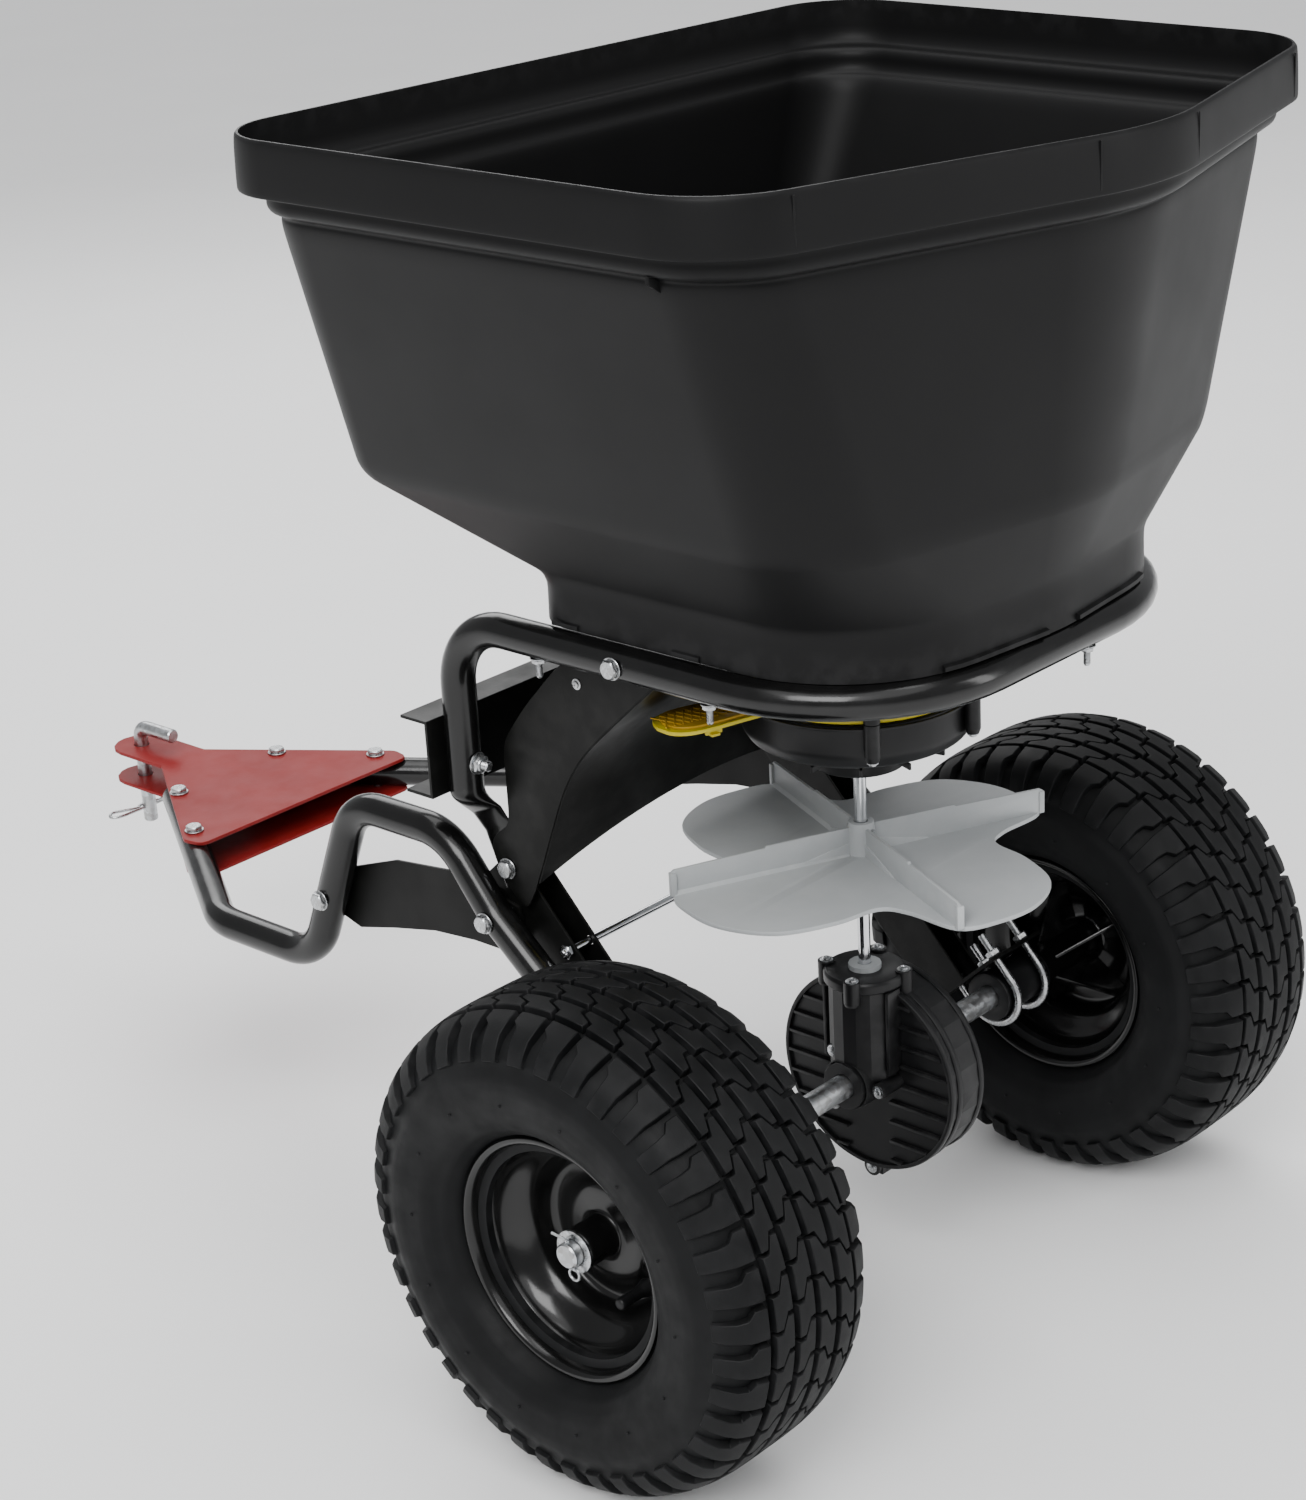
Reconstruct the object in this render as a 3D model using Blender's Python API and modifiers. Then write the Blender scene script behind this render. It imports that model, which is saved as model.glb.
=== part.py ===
"""Tow-behind broadcast spreader: hopper, rotary gate, geared impeller, tow frame and wheels.

Metres, +Z up, +Y towards the hitch, -X is the left side.  The ground is z = 0.  All places are
written from the foot of the axle, and an empty then puts the middle of the outline at the origin.
"""
import math

import bmesh
import bpy
from mathutils import Matrix, Vector

GAP = 0.0003                     # play between pieces that touch
AXLE_Y = -0.3085                 # the axle's place in the finished frame

# Wheels and axle
TYRE_RADIUS = 0.185
WHEEL_X = 0.286
AXLE_RADIUS = 0.0095
AXLE_END = 0.334
AXLE_Z = TYRE_RADIUS
HUB_RADIUS = 0.0155
HUB_IN = -0.0720                 # hub ends, outward from the wheel's middle
HUB_OUT = 0.0375
COTTER_X = 0.3295
DRIVE_PIN_X = 0.228              # the pin that locks the right wheel's hub to the axle
DRIVE_PIN_HOLE = 0.0034

# Bent tube frame
TUBE_RADIUS = 0.0127
TUBE_WALL = 0.0016
LOOP_X = 0.1925
LOOP_Z = 0.565
LOOP_REAR_Y = -0.172
SHIELD_BOLT_Y = 0.0450
CROSS_BOLT_Z = 0.4570
CROSS_CHANNEL_WALL = 0.0025
LEG_Y = 0.21
LEG_PRESS_X = 0.1743             # middle of the pressed-flat leg end
LEG_PRESS_HALF = 0.0025
LEG_PRESS_TOP = 0.429            # the leg is round above this and flat 26 mm below it
TOW_X = 0.190
TOW_Z = 0.245
GUSSET_OUT = TOW_X - TUBE_RADIUS - GAP
GUSSET_IN = GUSSET_OUT - 0.0025

# Slanted leg channels, which run up and forward from the axle
SLANT = math.radians(-42.8)      # turn about X that lays local Z along the channel
CHANNEL_IN = 0.1480
CHANNEL_OUT = 0.1715
SHEET = 0.0022
PLATE_LOW = 0.0204               # the end plate's near face, from the axle's middle
PLATE_HIGH = 0.0234
U_BOLT_REACH = 0.0242
U_BOLT_WIRE = 0.0032
U_BOLT_X = (0.1620, 0.1990)

# Bolts
BOLT_RADIUS = 0.0040
BOLT_HEAD = 0.0066
BOLT_HEAD_HEIGHT = 0.0050
BOLT_NUT_HEIGHT = 0.0065
BOLT_TAIL = 0.0060
BOLT_HOLE = BOLT_RADIUS + 0.0005

# Impeller, its shaft and the gear pair
SHAFT_RADIUS = 0.00475
IMPELLER_Z = 0.368
IMPELLER_PIN_Z = 0.3868
AGITATOR_PIN_Z = 0.6050
SHAFT_BORE = SHAFT_RADIUS + 2 * GAP
VANE_START = math.radians(155)
CROWN_TEETH = 21
PINION_TEETH = 7
CROWN_RADIUS = 0.060
PINION_RADIUS = CROWN_RADIUS * PINION_TEETH / CROWN_TEETH
CONE = math.hypot(CROWN_RADIUS, PINION_RADIUS)
FACE_WIDTH = 0.018

# Outlet and gate
GATE_LEVER_AZIMUTH = math.radians(160)
GATE_TRAVEL = math.radians(45)
OUTLET_AZIMUTHS = (math.radians(42), math.radians(138))
OUTLET_WIDTH = math.radians(40)
PILLAR_AZIMUTHS = (math.radians(45), math.radians(225), math.radians(283))
RING_RADIUS = 0.085

# Hitch
HITCH_TOP = (0.2580, 0.2610)
HITCH_BOTTOM = (0.2290, 0.2320)
HITCH_HOLE_Y = 0.846
HITCH_PIN_RADIUS = 0.00635
HITCH_BOLTS = {"front": (0.057, 0.725), "rear": (0.1055, 0.647)}

LOOKS = {
    "black_plastic": ((0.020, 0.020, 0.021), 0.55, 0.0),
    "black_paint": ((0.010, 0.010, 0.011), 0.25, 0.3),
    "black_sheet": ((0.018, 0.018, 0.018), 0.40, 0.3),
    "zinc": ((0.55, 0.56, 0.58), 0.35, 1.0),
    "chrome": ((0.62, 0.63, 0.65), 0.15, 1.0),
    "rubber": ((0.012, 0.012, 0.012), 0.80, 0.0),
    "red_paint": ((0.38, 0.045, 0.040), 0.35, 0.2),
    "light_plastic": ((0.45, 0.47, 0.47), 0.45, 0.0),
    "yellow_plastic": ((0.58, 0.50, 0.02), 0.40, 0.0),
    "white_print": ((0.75, 0.75, 0.75), 0.50, 0.0),
    "cast": ((0.30, 0.30, 0.31), 0.45, 0.8),
}


# ---------------------------------------------------------------- scene and objects

def clear_scene():
    for item in list(bpy.data.objects):
        bpy.data.objects.remove(item, do_unlink=True)


def new_collection(name):
    collection = bpy.data.collections.new(name)
    bpy.context.scene.collection.children.link(collection)
    return collection


def make_material(name, look):
    colour, roughness, metallic = LOOKS[look]
    material = bpy.data.materials.new(name)
    material.use_nodes = True
    shader = material.node_tree.nodes["Principled BSDF"]
    shader.inputs["Base Color"].default_value = (*colour, 1.0)
    shader.inputs["Roughness"].default_value = roughness
    shader.inputs["Metallic"].default_value = metallic
    return material


def add_object(name, mesh, location=(0, 0, 0), rotation=(0, 0, 0)):
    part = bpy.data.objects.new(name, mesh)
    PARTS.objects.link(part)
    part.parent = BASE
    part.location = location
    part.rotation_euler = rotation
    return part


def finish_part(part, look):
    part.data.materials.clear()
    part.data.materials.append(make_material(part.name + "_material", look))
    part.data.shade_smooth()
    part.data.set_sharp_from_angle(angle=math.radians(35))


def add_cutter(name, mesh, location=(0, 0, 0), rotation=(0, 0, 0)):
    cutter = bpy.data.objects.new(name, mesh)
    CUTTERS.objects.link(cutter)
    cutter.parent = BASE
    cutter.location = location
    cutter.rotation_euler = rotation
    cutter.hide_render = True
    cutter.display_type = "WIRE"
    return cutter


def boolean(part, tool, operation):
    modifier = part.modifiers.new(tool.name, "BOOLEAN")
    modifier.operation = operation
    modifier.solver = "EXACT"
    modifier.object = tool


def cut(part, tool):
    boolean(part, tool, "DIFFERENCE")


def join(part, tool):
    boolean(part, tool, "UNION")


def drill(part, centre, axis, length, radius):
    """A round hole through a part, centred on a point and along X, Y or Z."""
    rotation = {"X": (0, math.pi / 2, 0), "Y": (math.pi / 2, 0, 0), "Z": (0, 0, 0)}[axis]
    cut(part, add_cutter(part.name + "_hole", cylinder_mesh(radius, length, 12), centre, rotation))


# ---------------------------------------------------------------- shapes

def tidy_mesh(shape):
    bmesh.ops.remove_doubles(shape, verts=shape.verts, dist=0.00001)
    bmesh.ops.recalc_face_normals(shape, faces=shape.faces)
    mesh = bpy.data.meshes.new("shape")
    shape.to_mesh(mesh)
    shape.free()
    return mesh


def cylinder_mesh(radius, length, segments=24):
    shape = bmesh.new()
    bmesh.ops.create_cone(shape, cap_ends=True, segments=segments,
                          radius1=radius, radius2=radius, depth=length)
    return tidy_mesh(shape)


def box_mesh(low, high):
    shape = bmesh.new()
    bmesh.ops.create_cube(shape, size=1.0)
    low, high = Vector(low), Vector(high)
    size = high - low
    bmesh.ops.scale(shape, vec=size, verts=shape.verts)
    bmesh.ops.translate(shape, vec=(low + high) / 2, verts=shape.verts)
    return tidy_mesh(shape)


def mesh_of_curve(curve):
    """The closed mesh of a curve's bevel, extrusion and fill."""
    scratch = bpy.data.objects.new("scratch", curve)
    bpy.context.scene.collection.objects.link(scratch)
    depsgraph = bpy.context.evaluated_depsgraph_get()
    mesh = bpy.data.meshes.new_from_object(scratch.evaluated_get(depsgraph))
    bpy.data.objects.remove(scratch, do_unlink=True)
    shape = bmesh.new()
    shape.from_mesh(mesh)
    bpy.data.meshes.remove(mesh)
    return tidy_mesh(shape)


def plate_mesh(outline, thickness, holes=()):
    """A flat plate in the XY plane, with its middle at z = 0."""
    curve = bpy.data.curves.new("outline", "CURVE")
    curve.dimensions = "2D"
    curve.fill_mode = "BOTH"
    curve.extrude = thickness / 2
    for loop in (outline, *holes):
        spline = curve.splines.new("POLY")
        spline.points.add(len(loop) - 1)
        for point, place in zip(spline.points, loop):
            point.co = (place[0], place[1], 0, 1)
        spline.use_cyclic_u = True
    return mesh_of_curve(curve)


def rod_mesh(path, radius, resolution=2, caps=True):
    """A round rod along a list of points; resolution 2 gives 8 sides."""
    curve = bpy.data.curves.new("path", "CURVE")
    curve.dimensions = "3D"
    curve.bevel_depth = radius
    curve.bevel_resolution = resolution
    curve.use_fill_caps = caps
    spline = curve.splines.new("POLY")
    spline.points.add(len(path) - 1)
    for point, place in zip(spline.points, path):
        point.co = (*place, 1)
    return mesh_of_curve(curve)


def tube_mesh(path):
    """A hollow frame tube along a list of points."""
    skin = bpy.data.objects.new("skin", rod_mesh(path, TUBE_RADIUS, resolution=2, caps=False))
    bpy.context.scene.collection.objects.link(skin)
    wall = skin.modifiers.new("wall", "SOLIDIFY")
    wall.thickness = TUBE_WALL
    wall.offset = -1
    depsgraph = bpy.context.evaluated_depsgraph_get()
    mesh = bpy.data.meshes.new_from_object(skin.evaluated_get(depsgraph))
    bpy.data.objects.remove(skin, do_unlink=True)
    return mesh


def loft_mesh(rings, closed):
    """A skin between rings of equal count; closed joins the last to the first, else it is capped."""
    shape = bmesh.new()
    rows = [[shape.verts.new(point) for point in ring] for ring in rings]
    pairs = list(zip(rows, rows[1:]))
    if closed:
        pairs.append((rows[-1], rows[0]))
    else:
        shape.faces.new(rows[0])
        shape.faces.new(rows[-1])
    for near, far in pairs:
        for index in range(len(near)):
            after = (index + 1) % len(near)
            shape.faces.new((near[index], near[after], far[after], far[index]))
    return tidy_mesh(shape)


def turned_mesh(profile, steps):
    """A solid of revolution about Z, from a closed loop of (radius, height) points."""
    area = sum(r0 * z1 - r1 * z0 for (r0, z0), (r1, z1) in zip(profile, profile[1:] + profile[:1]))
    points = profile if area < 0 else profile[::-1]
    shape = bmesh.new()
    corners = [shape.verts.new((radius, 0, height)) for radius, height in points]
    for index, corner in enumerate(corners):
        shape.edges.new((corners[index - 1], corner))
    mesh = bpy.data.meshes.new("profile")
    shape.to_mesh(mesh)
    shape.free()
    scratch = bpy.data.objects.new("scratch", mesh)
    bpy.context.scene.collection.objects.link(scratch)
    turn = scratch.modifiers.new("turn", "SCREW")
    turn.steps = steps
    turn.render_steps = steps
    turn.use_merge_vertices = True
    turn.merge_threshold = 0.00001
    depsgraph = bpy.context.evaluated_depsgraph_get()
    turned = bpy.data.meshes.new_from_object(scratch.evaluated_get(depsgraph))
    bpy.data.objects.remove(scratch, do_unlink=True)
    shape = bmesh.new()
    shape.from_mesh(turned)
    bpy.data.meshes.remove(turned)
    return tidy_mesh(shape)


# ---------------------------------------------------------------- outlines and paths

def polar(radius, azimuth, height=None):
    place = (radius * math.cos(azimuth), radius * math.sin(azimuth))
    return place if height is None else (*place, height)


def circle(centre, radius, steps=12):
    return [(centre[0] + radius * math.cos(math.tau * step / steps),
             centre[1] + radius * math.sin(math.tau * step / steps)) for step in range(steps)]


def corner_arc(before, corner, after, radius, steps):
    """Points on the arc that rounds a corner between two straight runs."""
    to_before = (before - corner).normalized()
    to_after = (after - corner).normalized()
    half_angle = to_before.angle(to_after) / 2
    run = radius / math.tan(half_angle)
    centre = corner + (to_before + to_after).normalized() * radius / math.sin(half_angle)
    start = (corner + to_before * run - centre).normalized()
    end = (corner + to_after * run - centre).normalized()
    return [centre + radius * start.slerp(end, step / steps) for step in range(steps + 1)]


def bent_path(corners):
    """An open path; each inner corner is (point, bend radius, steps), and radius 0 keeps it."""
    points = [Vector(corner[0]) for corner in corners]
    path = [points[0]]
    for index in range(1, len(points) - 1):
        _, radius, steps = corners[index]
        if not radius:
            path.append(points[index])
            continue
        path += corner_arc(points[index - 1], points[index], points[index + 1], radius, steps)
    return path + [points[-1]]


def rounded_outline(corners):
    """A closed outline; each corner is (point, radius, steps), and radius 0 keeps it sharp."""
    points = [Vector((*corner[0], 0)) for corner in corners]
    outline = []
    for index, (_, radius, steps) in enumerate(corners):
        after = points[(index + 1) % len(points)]
        if radius:
            outline += corner_arc(points[index - 1], points[index], after, radius, steps)
        else:
            outline.append(points[index])
    return [(point.x, point.y) for point in outline]


def sector(middle, width, inner, outer, steps=4):
    """Outline of a piece of a ring."""
    angles = [middle + width * (step / steps - 0.5) for step in range(steps + 1)]
    return [polar(outer, angle) for angle in angles] + [polar(inner, angle) for angle in angles[::-1]]


def along_channel(run, offset):
    """The (y, z) of a point by its run up the leg channel and its offset to the front."""
    place = Matrix.Rotation(SLANT, 3, "X") @ Vector((0, offset, run))
    return place.y, AXLE_Z + place.z


LEG_BOLT = along_channel(0.2645, 0.0110)
TUBE_BOLT = (0.1925, 0.335)
GUSSET_BOLT = (0.3742, 0.305)
CROSS_ROD = along_channel(0.190, 0.0130)
CROSS_ROD_RADIUS = 0.0032
SHIELD_IN = LEG_PRESS_X + LEG_PRESS_HALF + GAP
SHIELD_OUT = SHIELD_IN + 0.0020
SIDES = {"left": -1, "right": 1}
YZ_PLATE = (math.pi / 2, 0, math.pi / 2)      # lays a plate's x and y along Y and Z


# ---------------------------------------------------------------- bolts

def hexagon(radius, height):
    return [polar(radius, math.tau * step / 6, height) for step in range(6)]


def bolt_mesh(grip, radius=BOLT_RADIUS, head=BOLT_HEAD, tail=BOLT_TAIL):
    """A bolt along +Z with its nut on: the head sits below z = 0 and the nut above the grip."""
    head_corner = head / math.cos(math.pi / 6)
    nut_low = grip + GAP
    nut_high = nut_low + BOLT_NUT_HEIGHT
    rings = [
        hexagon(head_corner, -GAP - BOLT_HEAD_HEIGHT),
        hexagon(head_corner, -GAP),
        hexagon(radius, -GAP),
        hexagon(radius, nut_low),
        hexagon(head_corner, nut_low),
        hexagon(head_corner, nut_high),
        hexagon(radius, nut_high),
        hexagon(radius, nut_high + tail),
    ]
    return loft_mesh(rings, closed=False)


def add_bolt(name, start, direction, grip, **sizes):
    turn = Vector((0, 0, 1)).rotation_difference(Vector(direction)).to_euler()
    finish_part(add_object(name, bolt_mesh(grip, **sizes), start, turn), "zinc")


# ---------------------------------------------------------------- hopper

def hopper_ring(half, front, corner, apex, height, front_round, rear_round, apex_round):
    """One level of the hopper: straight front and sides, rear wall bowed out to its middle."""
    outline = rounded_outline([
        ((-half, front), front_round, 4),
        ((-half, corner), rear_round, 4),
        ((0, apex), apex_round, 4),
        ((half, corner), rear_round, 4),
        ((half, front), front_round, 4),
    ])
    return [(x, y, height) for x, y in outline]


def outlet_circle(radius, height, like):
    """A round ring whose points face the same way as those of another ring."""
    return [polar(radius, math.atan2(y, x), height) for x, y, _ in like]


def make_hopper():
    wall = 0.003

    def base(inset, height):
        return hopper_ring(0.190 - inset, 0.139 - inset, -0.160 + inset, -0.180 + inset, height,
                           0.040 - inset, 0.115 - inset, 0.20)

    def knee(inset, height):
        return hopper_ring(0.236 - inset, 0.262 - inset, -0.160 + inset, -0.210 + inset, height,
                           0.030 - inset, 0.080 - inset, 0.20)

    def shoulder(inset, height):
        return hopper_ring(0.300 - inset, 0.2560 - inset, -0.152 + inset, -0.2400 + inset, height,
                           0.050 - inset, 0.070 - inset, 0.20)

    def collar(inset, height):
        return hopper_ring(0.311 - inset, 0.2595 - inset, -0.160 + inset, -0.2530 + inset, height,
                           0.055 - inset, 0.070 - inset, 0.20)

    def rim(inset, height):
        return hopper_ring(0.3255 - inset, 0.270 - inset, -0.1675 + inset, -0.2600 + inset, height,
                           0.060 - inset, 0.075 - inset, 0.20)

    floor = base(wall, 0.616)
    rings = [
        outlet_circle(0.0700, 0.5200, floor),
        outlet_circle(0.0700, 0.5570, floor),
        floor,
        knee(wall, 0.6760),
        shoulder(wall, 0.8680),
        collar(wall, 0.8715),
        collar(wall, 0.8870),
        rim(wall, 0.8875),
        rim(wall, 0.9210),
        rim(0, 0.9210),
        rim(-0.0015, 0.8840),
        collar(0, 0.8835),
        collar(0, 0.8680),
        shoulder(0, 0.8650),
        knee(0, 0.6750),
        base(0, 0.6120),
        base(0, 0.5780),
        base(wall, 0.5780),
        base(wall, 0.6085),
        outlet_circle(0.0730, 0.5530, floor),
        outlet_circle(0.0730, 0.5200, floor),
    ]
    finish_part(add_object("hopper", loft_mesh(rings, closed=True)), "black_plastic")


# ---------------------------------------------------------------- outlet, gate and housing

def cut_outlets(part, turn, height):
    for azimuth in OUTLET_AZIMUTHS:
        opening = plate_mesh(sector(azimuth + turn, OUTLET_WIDTH, 0.024, 0.062), 0.012)
        cut(part, add_cutter(part.name + "_outlet", opening, (0, 0, height)))


def make_outlet_ring():
    profile = [(RING_RADIUS, 0.5500), (RING_RADIUS, 0.5045), (0.0056, 0.5045),
               (0.0056, 0.5075), (0.0745, 0.5075), (0.0745, 0.5500)]
    ring = add_object("outlet_ring", turned_mesh(profile, 24))
    for azimuth in PILLAR_AZIMUTHS:
        ear = add_cutter("outlet_ring_ear", cylinder_mesh(0.0060, 0.0105, 10),
                         polar(0.0888, azimuth, 0.50975))
        join(ring, ear)
    cut_outlets(ring, 0, 0.506)
    finish_part(ring, "black_plastic")


def make_rate_scale():
    """The printed band that the lever's pointer runs along."""
    band = plate_mesh(sector(math.radians(183), math.radians(64), RING_RADIUS + GAP,
                             RING_RADIUS + 0.0015, steps=8), 0.020)
    finish_part(add_object("rate_scale", band, (0, 0, 0.5155)), "white_print")


def make_gate():
    rim = 0.0825
    reach = [(0.105, 0.0205), (0.130, 0.0225), (0.148, 0.0215), (0.159, 0.0140)]
    start = math.radians(13.5)
    steps = 20
    arc = [polar(rim, start + (math.tau - 2 * start) * step / steps) for step in range(steps + 1)]
    handle = [(x, -y) for x, y in reach] + [(0.163, 0)] + reach[::-1]
    turn = Matrix.Rotation(GATE_LEVER_AZIMUTH, 2)
    outline = [turn @ Vector(point) for point in arc + handle]
    gate = add_object("gate_lever", plate_mesh(outline, 0.003, [circle((0, 0), 0.0056, 12)]),
                      (0, 0, 0.5020))
    cut_outlets(gate, -GATE_TRAVEL, 0.5020)
    finish_part(gate, "yellow_plastic")


def make_gate_housing():
    profile = [(RING_RADIUS, 0.5000), (RING_RADIUS, 0.4760), (0.0800, 0.4670), (0.0690, 0.4620),
               (0.0370, 0.4580), (0.0350, 0.4400), (0.0056, 0.4400), (0.0056, 0.4600),
               (0.0340, 0.4615), (0.0680, 0.4655), (0.0775, 0.4700), (0.0815, 0.4775),
               (0.0815, 0.5000)]
    housing = add_object("gate_housing", turned_mesh(profile, 24))
    for azimuth in PILLAR_AZIMUTHS:
        pillar = add_cutter("gate_housing_pillar", cylinder_mesh(0.0057, 0.0290, 10),
                            polar(0.0888, azimuth, 0.4896))
        join(housing, pillar)
    drop = plate_mesh(sector(math.radians(90), math.radians(140), 0.040, 0.066, steps=10), 0.030)
    cut(housing, add_cutter("gate_housing_drop", drop, (0, 0, 0.4650)))
    finish_part(housing, "black_plastic")


# ---------------------------------------------------------------- impeller and its drive

def impeller_outline():
    """Four lobes: each is fullest a little after its vane and drawn in before the next."""
    lobe = ((0, 0.150), (12, 0.157), (25, 0.158), (40, 0.148), (55, 0.122), (70, 0.100), (81, 0.112))
    outline = []
    for quarter in range(4):
        for degrees, radius in lobe:
            outline.append(polar(radius, VANE_START + math.radians(90 * quarter + degrees)))
    return outline


def make_impeller():
    thickness = 0.0035
    bore = circle((0, 0), SHAFT_BORE, 10)
    disc = plate_mesh(impeller_outline(), thickness, [bore])
    impeller = add_object("impeller", disc, (0, 0, IMPELLER_Z - thickness / 2))
    hub = turned_mesh([(0.0095, 0.0250), (0.0110, -0.0100), (SHAFT_BORE, -0.0100),
                       (SHAFT_BORE, 0.0250)], 10)
    join(impeller, add_cutter("impeller_hub", hub, (0, 0, IMPELLER_Z)))
    for quarter in range(4):
        vane = box_mesh((0.0085, -0.0013, -0.0015), (0.152, 0.0013, 0.0200))
        turn = VANE_START + quarter * math.pi / 2
        join(impeller, add_cutter("impeller_vane", vane, (0, 0, IMPELLER_Z), (0, 0, turn)))
    drill(impeller, (0, 0, IMPELLER_PIN_Z), "Y", 0.030, 0.0020)
    finish_part(impeller, "light_plastic")


def make_impeller_shaft():
    low, high = 0.2220, 0.6400
    shaft = add_object("impeller_shaft", cylinder_mesh(SHAFT_RADIUS, high - low, 14),
                       (0, 0, (low + high) / 2))
    drill(shaft, (0, 0, IMPELLER_PIN_Z), "Y", 0.030, 0.0020)
    drill(shaft, (0, 0, AGITATOR_PIN_Z), "Y", 0.030, 0.0030)
    finish_part(shaft, "chrome")
    pin = add_object("impeller_pin", cylinder_mesh(0.0016, 0.0250, 8), (0, 0, IMPELLER_PIN_Z),
                     (math.pi / 2, 0, 0))
    finish_part(pin, "zinc")


def make_agitator():
    path = bent_path([((0, -0.060, 0.620),), ((0, -0.035, 0.605), 0.012, 2),
                      ((0, 0.035, 0.605), 0.012, 2), ((0, 0.060, 0.620),)])
    finish_part(add_object("agitator", rod_mesh(path, 0.0025)), "zinc")


def bevel_gear_mesh(teeth, pitch_radius, bore, hub, tilt):
    """A straight-toothed bevel gear about Z whose cone's tip is the origin, teeth facing the tip."""
    module = 2 * pitch_radius / teeth
    across = math.cos(tilt)
    down = math.sin(tilt)

    def tooth_ring(cone):
        scale = cone / CONE
        ring = []
        for tooth in range(teeth):
            for share, lift in ((-0.33, -1.05), (-0.11, 0.75), (0.11, 0.75), (0.33, -1.05)):
                azimuth = math.tau * (tooth + share) / teeth
                radius = (pitch_radius + lift * module * across) * scale
                height = (math.sqrt(CONE ** 2 - pitch_radius ** 2) - lift * module * down) * scale
                ring.append(polar(radius, azimuth, height))
        return ring

    def round_ring(radius, height):
        return [polar(radius, math.atan2(y, x), height) for x, y, _ in heel]

    heel = tooth_ring(CONE)
    toe = tooth_ring(CONE - FACE_WIDTH)
    toe_height = max(point[2] for point in toe) + 0.0005
    back = max(point[2] for point in heel) + 0.0035
    root = min(math.hypot(point[0], point[1]) for point in heel)
    rings = [heel, toe, round_ring(hub, toe_height), round_ring(bore, toe_height),
             round_ring(bore, back), round_ring(root * 0.96, back)]
    return loft_mesh(rings, closed=True)


def make_gears():
    crown_tilt = math.atan2(CROWN_RADIUS, PINION_RADIUS)
    crown = bevel_gear_mesh(CROWN_TEETH, CROWN_RADIUS, AXLE_RADIUS + GAP, 0.0180, crown_tilt)
    finish_part(add_object("crown_gear", crown, (0, 0, AXLE_Z), (0, math.pi / 2, 0)), "cast")
    pinion_tilt = math.atan2(PINION_RADIUS, CROWN_RADIUS)
    pinion = bevel_gear_mesh(PINION_TEETH, PINION_RADIUS, SHAFT_RADIUS + GAP, 0.0085, pinion_tilt)
    finish_part(add_object("pinion_gear", pinion, (0, 0, AXLE_Z)), "cast")


# ---------------------------------------------------------------- gearbox

def make_gearbox_half(name, waste_low, waste_high):
    """One half of the case: the whole case less everything between two planes across the axle."""
    half = add_object(name, cylinder_mesh(0.0800, 0.0350, 28), (0.0195, 0, AXLE_Z),
                      (0, math.pi / 2, 0))
    column = cylinder_mesh(0.0280, 0.0830, 16)
    join(half, add_cutter(name + "_column", column, (0, 0, 0.2315)))
    boss = cylinder_mesh(0.0190, 0.0760, 16)
    join(half, add_cutter(name + "_boss", boss, (0.0080, 0, AXLE_Z), (0, math.pi / 2, 0)))
    lug = box_mesh((0.0050, -0.0080, 0.0950), (0.0300, 0.0080, 0.1250))
    join(half, add_cutter(name + "_lug", lug))
    hollow = cylinder_mesh(0.0760, 0.0290, 28)
    cut(half, add_cutter(name + "_hollow", hollow, (0.0200, 0, AXLE_Z), (0, math.pi / 2, 0)))
    pocket = cylinder_mesh(0.0252, 0.0575, 16)
    cut(half, add_cutter(name + "_pocket", pocket, (0, 0, 0.23625)))
    drill(half, (0, 0, 0.2700), "Z", 0.0200, 0.0090)
    drill(half, (0.0080, 0, AXLE_Z), "X", 0.1000, AXLE_RADIUS + 2 * GAP)
    waste = box_mesh((waste_low, -0.120, 0.050), (waste_high, 0.120, 0.320))
    cut(half, add_cutter(name + "_split", waste))
    finish_part(half, "black_plastic")


def make_gearbox():
    split = 0.0100
    make_gearbox_half("gearbox_cover", split, 0.2000)
    make_gearbox_half("gearbox_case", -0.2000, split + GAP)
    bushing = turned_mesh([(0.0125, 0.2775), (0.0125, 0.2733), (0.0085, 0.2733), (0.0085, 0.2655),
                           (SHAFT_RADIUS + GAP, 0.2655), (SHAFT_RADIUS + GAP, 0.2775)], 14)
    finish_part(add_object("shaft_bushing", bushing), "light_plastic")


# ---------------------------------------------------------------- axle and wheels

def make_axle():
    axle = add_object("axle", cylinder_mesh(AXLE_RADIUS, 2 * AXLE_END, 20), (0, 0, AXLE_Z),
                      (0, math.pi / 2, 0))
    for side in SIDES.values():
        drill(axle, (side * COTTER_X, 0, AXLE_Z), "Z", 0.030, 0.0021)
    drill(axle, (DRIVE_PIN_X, 0, AXLE_Z), "Z", 0.030, DRIVE_PIN_HOLE)
    finish_part(axle, "zinc")
    pin = add_object("drive_pin", cylinder_mesh(0.0030, 0.0400, 10), (DRIVE_PIN_X, 0, AXLE_Z))
    finish_part(pin, "zinc")


def outward(side):
    """Turns local +Z to the outside of a wheel."""
    return (0, side * math.pi / 2, 0)


def tyre_profile():
    outer = [(0.0780, 0.0462), (0.0925, 0.0506), (0.0945, 0.0560), (0.1080, 0.0705), (0.1300, 0.0750),
             (0.1500, 0.0742), (0.1660, 0.0690), (0.1780, 0.0560), (TYRE_RADIUS, 0.0340)]
    inner = [(0.1785, 0.0300), (0.1600, 0.0640), (0.1250, 0.0690), (0.0990, 0.0540), (0.0780, 0.0400)]
    right = [(radius, -height) for radius, height in outer[::-1]]
    left = [(radius, -height) for radius, height in inner[::-1]]
    return outer + right + left + inner


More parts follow.
